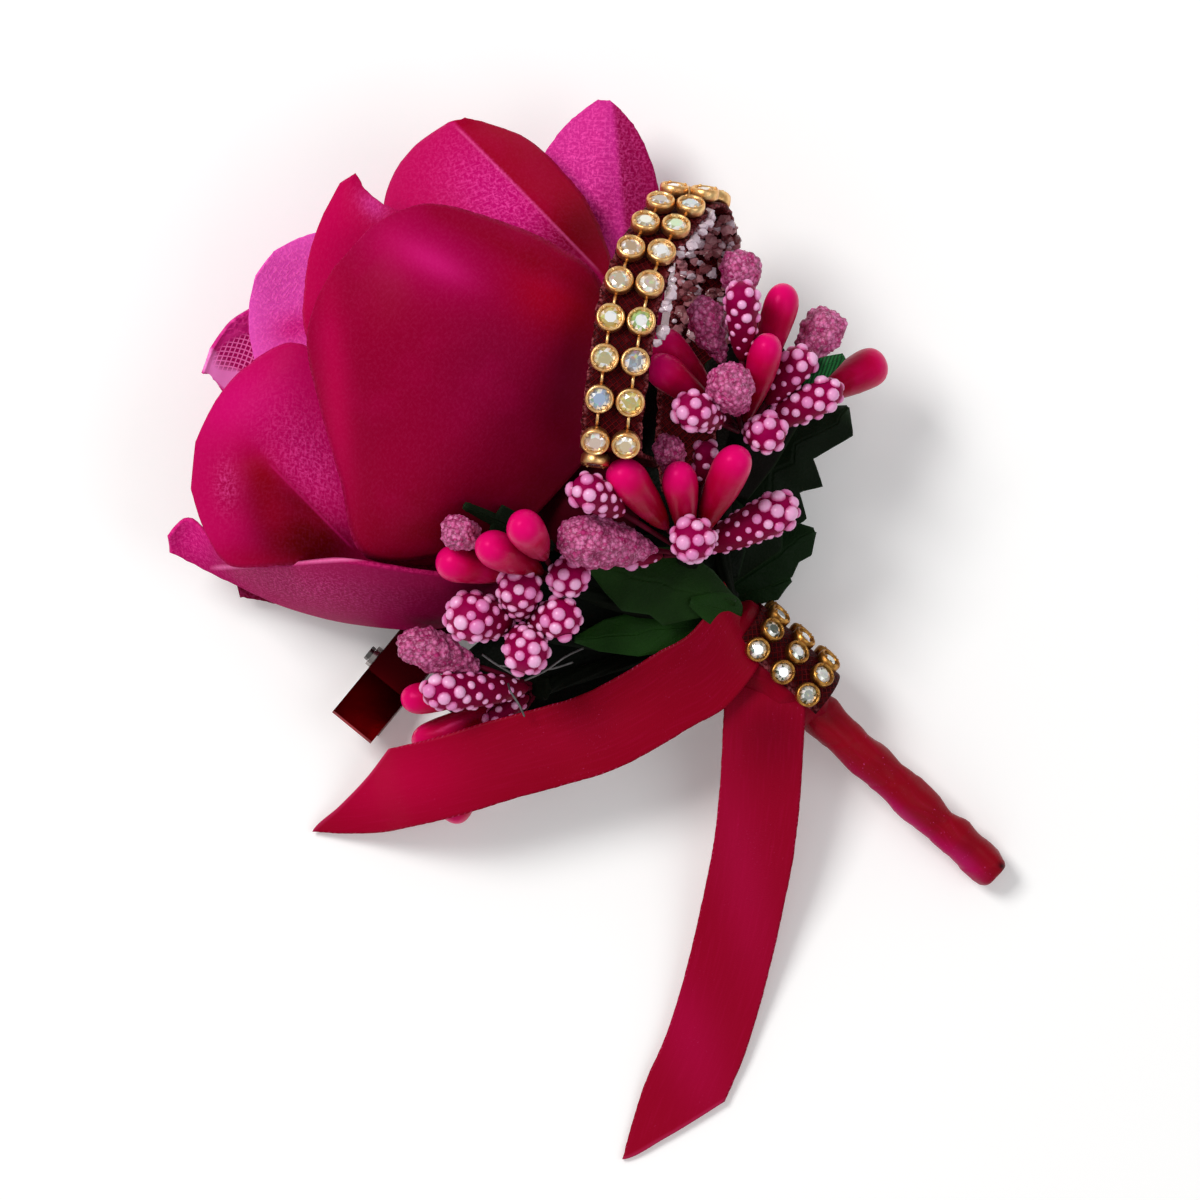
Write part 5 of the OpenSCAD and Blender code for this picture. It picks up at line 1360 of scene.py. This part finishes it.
tails = {
    "left": {
        "line": [(34.6, -0.6, 13.9), (33.5, -3.0, 15.6), (30.4, -6.8, 15.5), (26.6, -9.0, 14.8),
                 (22.0, -11.8, 13.9), (17.4, -14.1, 13), (12.1, -15.7, 12.4), (6.2, -17.3, 12.2),
                 (0.4, -19.1, 11.2), (-4.4, -20.3, 8.4), (-8.6, -21.2, 4.6), (-12.8, -21.4, 2),
                 (-16.8, -21.2, 0.6)],
        "side": ((-0.5, 0.86, 0.1), (-0.2, 0.95, 0)), "cut": -15, "held": "draped",
        "rests": ["binding", "spray_d_smooth"], "base": (138, 0, 28), "high": 11,
        # Painted light and shade: the left end lit brighter red, a paler middle, and painted shade near the
        # binding.
        "paint": [("spot", (390, 780), (110, 60), 10, (178, 0, 56), 0.9),
                  ("spot", (700, 650), (90, 60), 30, (120, 0, 26), 0.7),
                  ("spot", (560, 740), (90, 30), 15, (150, 4, 40), 0.6)],
    },
    "down": {
        "line": [(37.4, -8.2, 12.6), (37.1, -11.2, 12.9), (36.9, -15.5, 11.4), (36.6, -21.0, 9.4),
                 (35.9, -27.8, 7), (34.8, -33.7, 5), (33.5, -39.7, 3.4), (32.0, -45.6, 2.2),
                 (30.1, -51.5, 1.4), (27.7, -57.0, 0.9), (26.1, -62.0, 0.6), (24.9, -66.4, 0.55)],
        "side": ((-1, 0, 0.1), (-0.9, 0.42, 0)), "cut": 13.5, "held": "laid",
        "rests": ["binding"], "base": (148, 2, 36), "high": 5,
        # Painted light and shade: two painted highlights down the tail, and painted shade where it leaves the
        # binding.
        "paint": [("spot", (740, 870), (34, 150), 10, (166, 8, 58), 0.7),
                  ("spot", (690, 1040), (40, 110), 18, (168, 6, 60), 0.7),
                  ("spot", (770, 730), (50, 60), 0, (120, 0, 26), 0.8)],
    },
}
ribbon = {"wide": 9.5, "cut": 10, "wall": 0.35, "cells": (26, 150)}  # as it lies, as it was cut


def makeTail(name, tail):
    first, second = (Vector(side) for side in tail["side"])
    span = (Vector(tail["line"][-1]) - Vector(tail["line"][0])).length
    cut = tail["cut"]

    def shape(t, v):
        s = t * (1 + v * cut / span / 2) / (1 + abs(cut) / span / 2)
        side = first.lerp(second, s).normalized()
        here = Vector(track(tail["line"], s)) + side * (v * ribbon["wide"] / 2)
        here.z += math.sin(s * 9 + v * 1.3) * 0.12 + noise.noise(here * 0.2) * 0.12
        here += side * noise.noise(here * 1.7) * 0.05 * abs(v) ** 6
        return here
    bm = clothGrid(*ribbon["cells"], shape)[0]
    area = areaOf(bm)
    finish = satinFinish("ribbon " + name, tail["paint"], tail["base"], tail["high"], dotted=True)
    piece = addPiece("satin_tail_" + name, bm, [finish], ["ribbon_tail_" + name], "satin_ribbon",
                     thick=ribbon["wall"])
    round(area / (ribbon["wide"] * mm) + abs(cut) * mm / 2, 4)
    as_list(tail["rests"])


for name, tail in tails.items():
    makeTail(name, tail)


# Ribbons wound round a core: where they start, radius along them, and how high each turn lies on the last
bindingEnd = stem["bindingAt"] + stem["bindingLong"] - 1.2  # the stem's first turns lie under the binding
wraps = {
    "bound_ribbon": {
        "satin": "binding satin", "node": "binding", "from": stem["bindingAt"], "long": stem["bindingLong"],
        "turns": 2.3, "ridge": 0.22, "seed": (1, 2, 3), "cells": (72, 90),
        "radius": [(0, 3.5), (0.05, 4.5), (0.2, 4.75), (0.66, 4.7), (0.8, 4.2), (0.92, 3.1), (1, 2.1)],
        "base": (112, 0, 20), "high": 10, "glints": 0.25, "index": 1.12,
        "paint": [("spot", (790, 720), (60, 40), -45, (140, 0, 30), 0.8)],
    },
    "stem_ribbon": {
        "satin": "stem satin", "node": "wrapped_stem", "from": bindingEnd, "long": stem["long"] - bindingEnd,
        "turns": 4, "ridge": 0.16, "seed": (4, 5, 6), "cells": (64, 150),
        "radius": [(0, 2.3), (0.05, 2.5), (0.16, 2.2), (0.3, 2.45), (0.42, 2.2), (0.52, 2.5), (0.62, 2.35),
                   (0.7, 2.05), (0.78, 2.4), (0.86, 2.15), (0.95, 2.3), (0.985, 2.1), (1, 1.8)],
        "base": (136, 0, 22), "high": 4, "glints": 0.7, "index": 1.18,
        # Painted sheen along the lower left side, and painted shade in the hollow of the cut end.
        "paint": [("spot", (906, 820), (100, 9), -41, (190, 10, 104), 0.7),
                  ("spot", (962, 862), (32, 12), -41, (186, 8, 96), 0.7),
                  ("spot", (1002, 866), (6, 4), -41, (50, 0, 8), 1.0)],
    },
}


def wind(name, wrap):
    seed, ridge = Vector(wrap["seed"]), wrap["ridge"]

    def shape(t, v):
        around = (v + 1) * math.pi
        climb = (t * wrap["turns"] + around / (2 * math.pi)) % 1  # 0 to 1 across one turn
        crumple = Vector((math.cos(around), math.sin(around), t * wrap["long"] * 0.32)) + seed
        r = between(wrap["radius"], t) + ridge * (0.5 - climb) * 0.7 + noise.noise(crumple) * ridge * 2.2
        if climb < 0.06:
            r -= ridge * 0.35 * (1 - climb / 0.06)
        return onStem(wrap["from"] + t * wrap["long"], r * math.cos(around), r * math.sin(around))
    finish = satinFinish(wrap["satin"], wrap["paint"], wrap["base"], wrap["high"], glints=wrap["glints"],
                         index=wrap["index"])
    addPiece(name, closed(clothGrid(*wrap["cells"], shape)[0]), [finish], [wrap["node"]], "satin_ribbon")


for name, wrap in wraps.items():
    wind(name, wrap)

# Distances along the stem and out from its middle, and angles round it from the top, in degrees
bindingStones = {
    "cup": 1.46, "cupHigh": 1.3, "stone": 0.72,
    "along": (25.6, 29.6, 33.6), "round": (8, 39, 70, 102), "out": 5.0,
}
bindingNet = {
    "from": 23.4, "long": 12.6, "middle": 57, "half": 60, "out": 4.98, "cells": (30, 30), "wall": 0.2,
}


def makeBindingStones():
    rng = random.Random("binding stones")
    high = bindingStones["cupHigh"]
    cupShape = cupTemplate("small cup", bindingStones["cup"], high)
    stoneShape = stoneTemplate("small stone", bindingStones["cup"] * bindingStones["stone"])
    cups, stones = bmesh.new(), stoneMesh()
    for d in bindingStones["along"]:
        for angle in bindingStones["round"]:
            a = math.radians(angle)
            out = (stemSide * math.sin(a) + stemUp * math.cos(a)).normalized()
            seat = seatMatrix(onStem(d) + out * bindingStones["out"], stemRun, out)
            stamp(cups, cupShape, seat)
            setStone(stones, stoneShape, seat, high, (232, 238, 226), rng)

    def patch(t, v):  # the net that the cups are set in
        a = math.radians(bindingNet["middle"] + bindingNet["half"] * v)
        r = bindingNet["out"] + noise.noise(Vector((t * 9, v * 6, 0))) * 0.06
        return onStem(bindingNet["from"] + bindingNet["long"] * t, r * math.sin(a), r * math.cos(a))
    net = clothGrid(*bindingNet["cells"], patch)[0]
    addPiece("binding_net", net, [netFinish()], (), "band_mesh", thick=bindingNet["wall"])
    dark = goldFinish("old gilt", dye(214, 158, 80), dye(110, 66, 26))
    addPiece("binding_gilt_cups", cups, [dark], ["binding_cups"], "gilt_cup")
    # The dark green for the darker facets: painted reflections.
    clear = stoneFinish("clear stone", dye(50, 66, 46))
    addPiece("binding_clear_stones", stones, [clear], ["binding_stones"], "crystal", smooth=False)


makeBindingStones()
print("stem and ribbon made")


# ---- clip and hidden CAD parts

def dress(node, finish):
    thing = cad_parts[node]
    if not thing.data.materials:
        thing.data.materials.append(None)
    for slot in thing.material_slots:
        slot.material = finish.material


def steelFinish(name, bright, dark, rough, strokes, high):
    finish = Finish(name, {"Metallic": 1.0, "Roughness": rough})
    grain = finish.noise(finish.place(), 0.25, 3)
    cloud = finish.noise(finish.place(), 5, 2)
    colour = finish.mix(cloud, bright, dark)
    finish.feed("Base Color", finish.painted(colour, strokes, high))
    finish.feed("Roughness", rough + grain * 0.1)
    finish.relief(grain, 0.01)
    return finish


# The strip mirrors the red of the rose, which is painted on it
clip = {
    "glow": [("spot", (362, 712), (40, 36), -45, (168, 10, 28), 1.0)], "high": 5,
    "strip": ((46, 2, 6), (66, 5, 10), 0.14),
    "lever": ((150, 140, 138), (190, 184, 182), 0.2),
    "pin": ((66, 62, 64), (150, 146, 144), 0.2),
    "spring": ((60, 58, 60), (140, 136, 134), 0.25),
}
hidden = {
    "glue_pad": ("glue", (206, 196, 176), (230, 222, 206), 1.5, 3, 0.1,
                 {"Roughness": 0.3, "Coat Weight": 0.4}),
    "rose_base": ("base cloth", (44, 0, 8), (78, 0, 20), 2, 3, 0.15, {"Roughness": 0.6, "IOR": 1.1}),
    "stem_core": ("core tape", (28, 44, 18), (58, 76, 36), 1.2, 3, 0.12, {"Roughness": 0.6}),
}


def dressHidden():
    for part in ("strip", "lever", "pin", "spring"):
        bright, dark, rough = clip[part]
        glow = clip["glow"] if part == "strip" else ()
        finish = steelFinish(part + " steel", dye(*bright), dye(*dark), rough, glow, clip["high"])
        dress("clip_" + part, finish)
    for node, values in hidden.items():
        dress(node, cloudFinish(*values))


dressHidden()
print("clip dressed")


# ---- floor and light

studio = {
    "floor": (0.93, 0.95), "floorGlow": 0.12, "floorHalf": 3, "world": 0.4, "aim": (0.015, 0.005, 0.01),
    "lights": [("key", (-0.38, 0.34, 0.7), 0.3, 4.6, (1, 0.99, 0.97)),  # where, size, power and colour
               ("fill", (0.5, -0.1, 0.7), 0.5, 1.0, (0.97, 0.98, 1)),
               ("front", (0.0, -0.7, 0.35), 0.5, 0.4, (1, 1, 1))],
}


def makeFloor():
    bm = bmesh.new()
    bmesh.ops.create_grid(bm, x_segments=1, y_segments=1, size=studio["floorHalf"])
    mesh = templateFrom(bm, "floor")
    floor = bpy.data.objects.new("floor", mesh)
    paint = Finish("floor", {"Roughness": 0.9, "Emission Color": (1, 1, 1, 1),
                             "Emission Strength": studio["floorGlow"]})
    dark, bright = ((grey, grey, grey, 1) for grey in studio["floor"])
    paint.feed("Base Color", paint.mix(paint.noise(paint.place(), 400, 2), dark, bright))
    mesh.materials.append(paint.material)
    bpy.context.collection.objects.link(floor)


def lightStage():
    aim = Vector(studio["aim"])
    for name, at, size, power, colour in studio["lights"]:
        data = bpy.data.lights.new(name, "AREA")
        data.size, data.energy, data.color = size, power, colour
        lamp = bpy.data.objects.new(name, data)
        lamp.location = at
        lamp.rotation_euler = (aim - Vector(at)).to_track_quat("-Z", "Y").to_euler()
        bpy.context.collection.objects.link(lamp)
    world = bpy.data.worlds.new("studio")
    world.use_nodes = True
    back = world.node_tree.nodes["Background"]
    back.inputs["Color"].default_value = (1, 1, 1, 1)
    back.inputs["Strength"].default_value = studio["world"]
    bpy.context.scene.world = world
    bpy.context.scene.view_settings.view_transform = "Standard"


makeFloor()
lightStage()

print("scene ready")
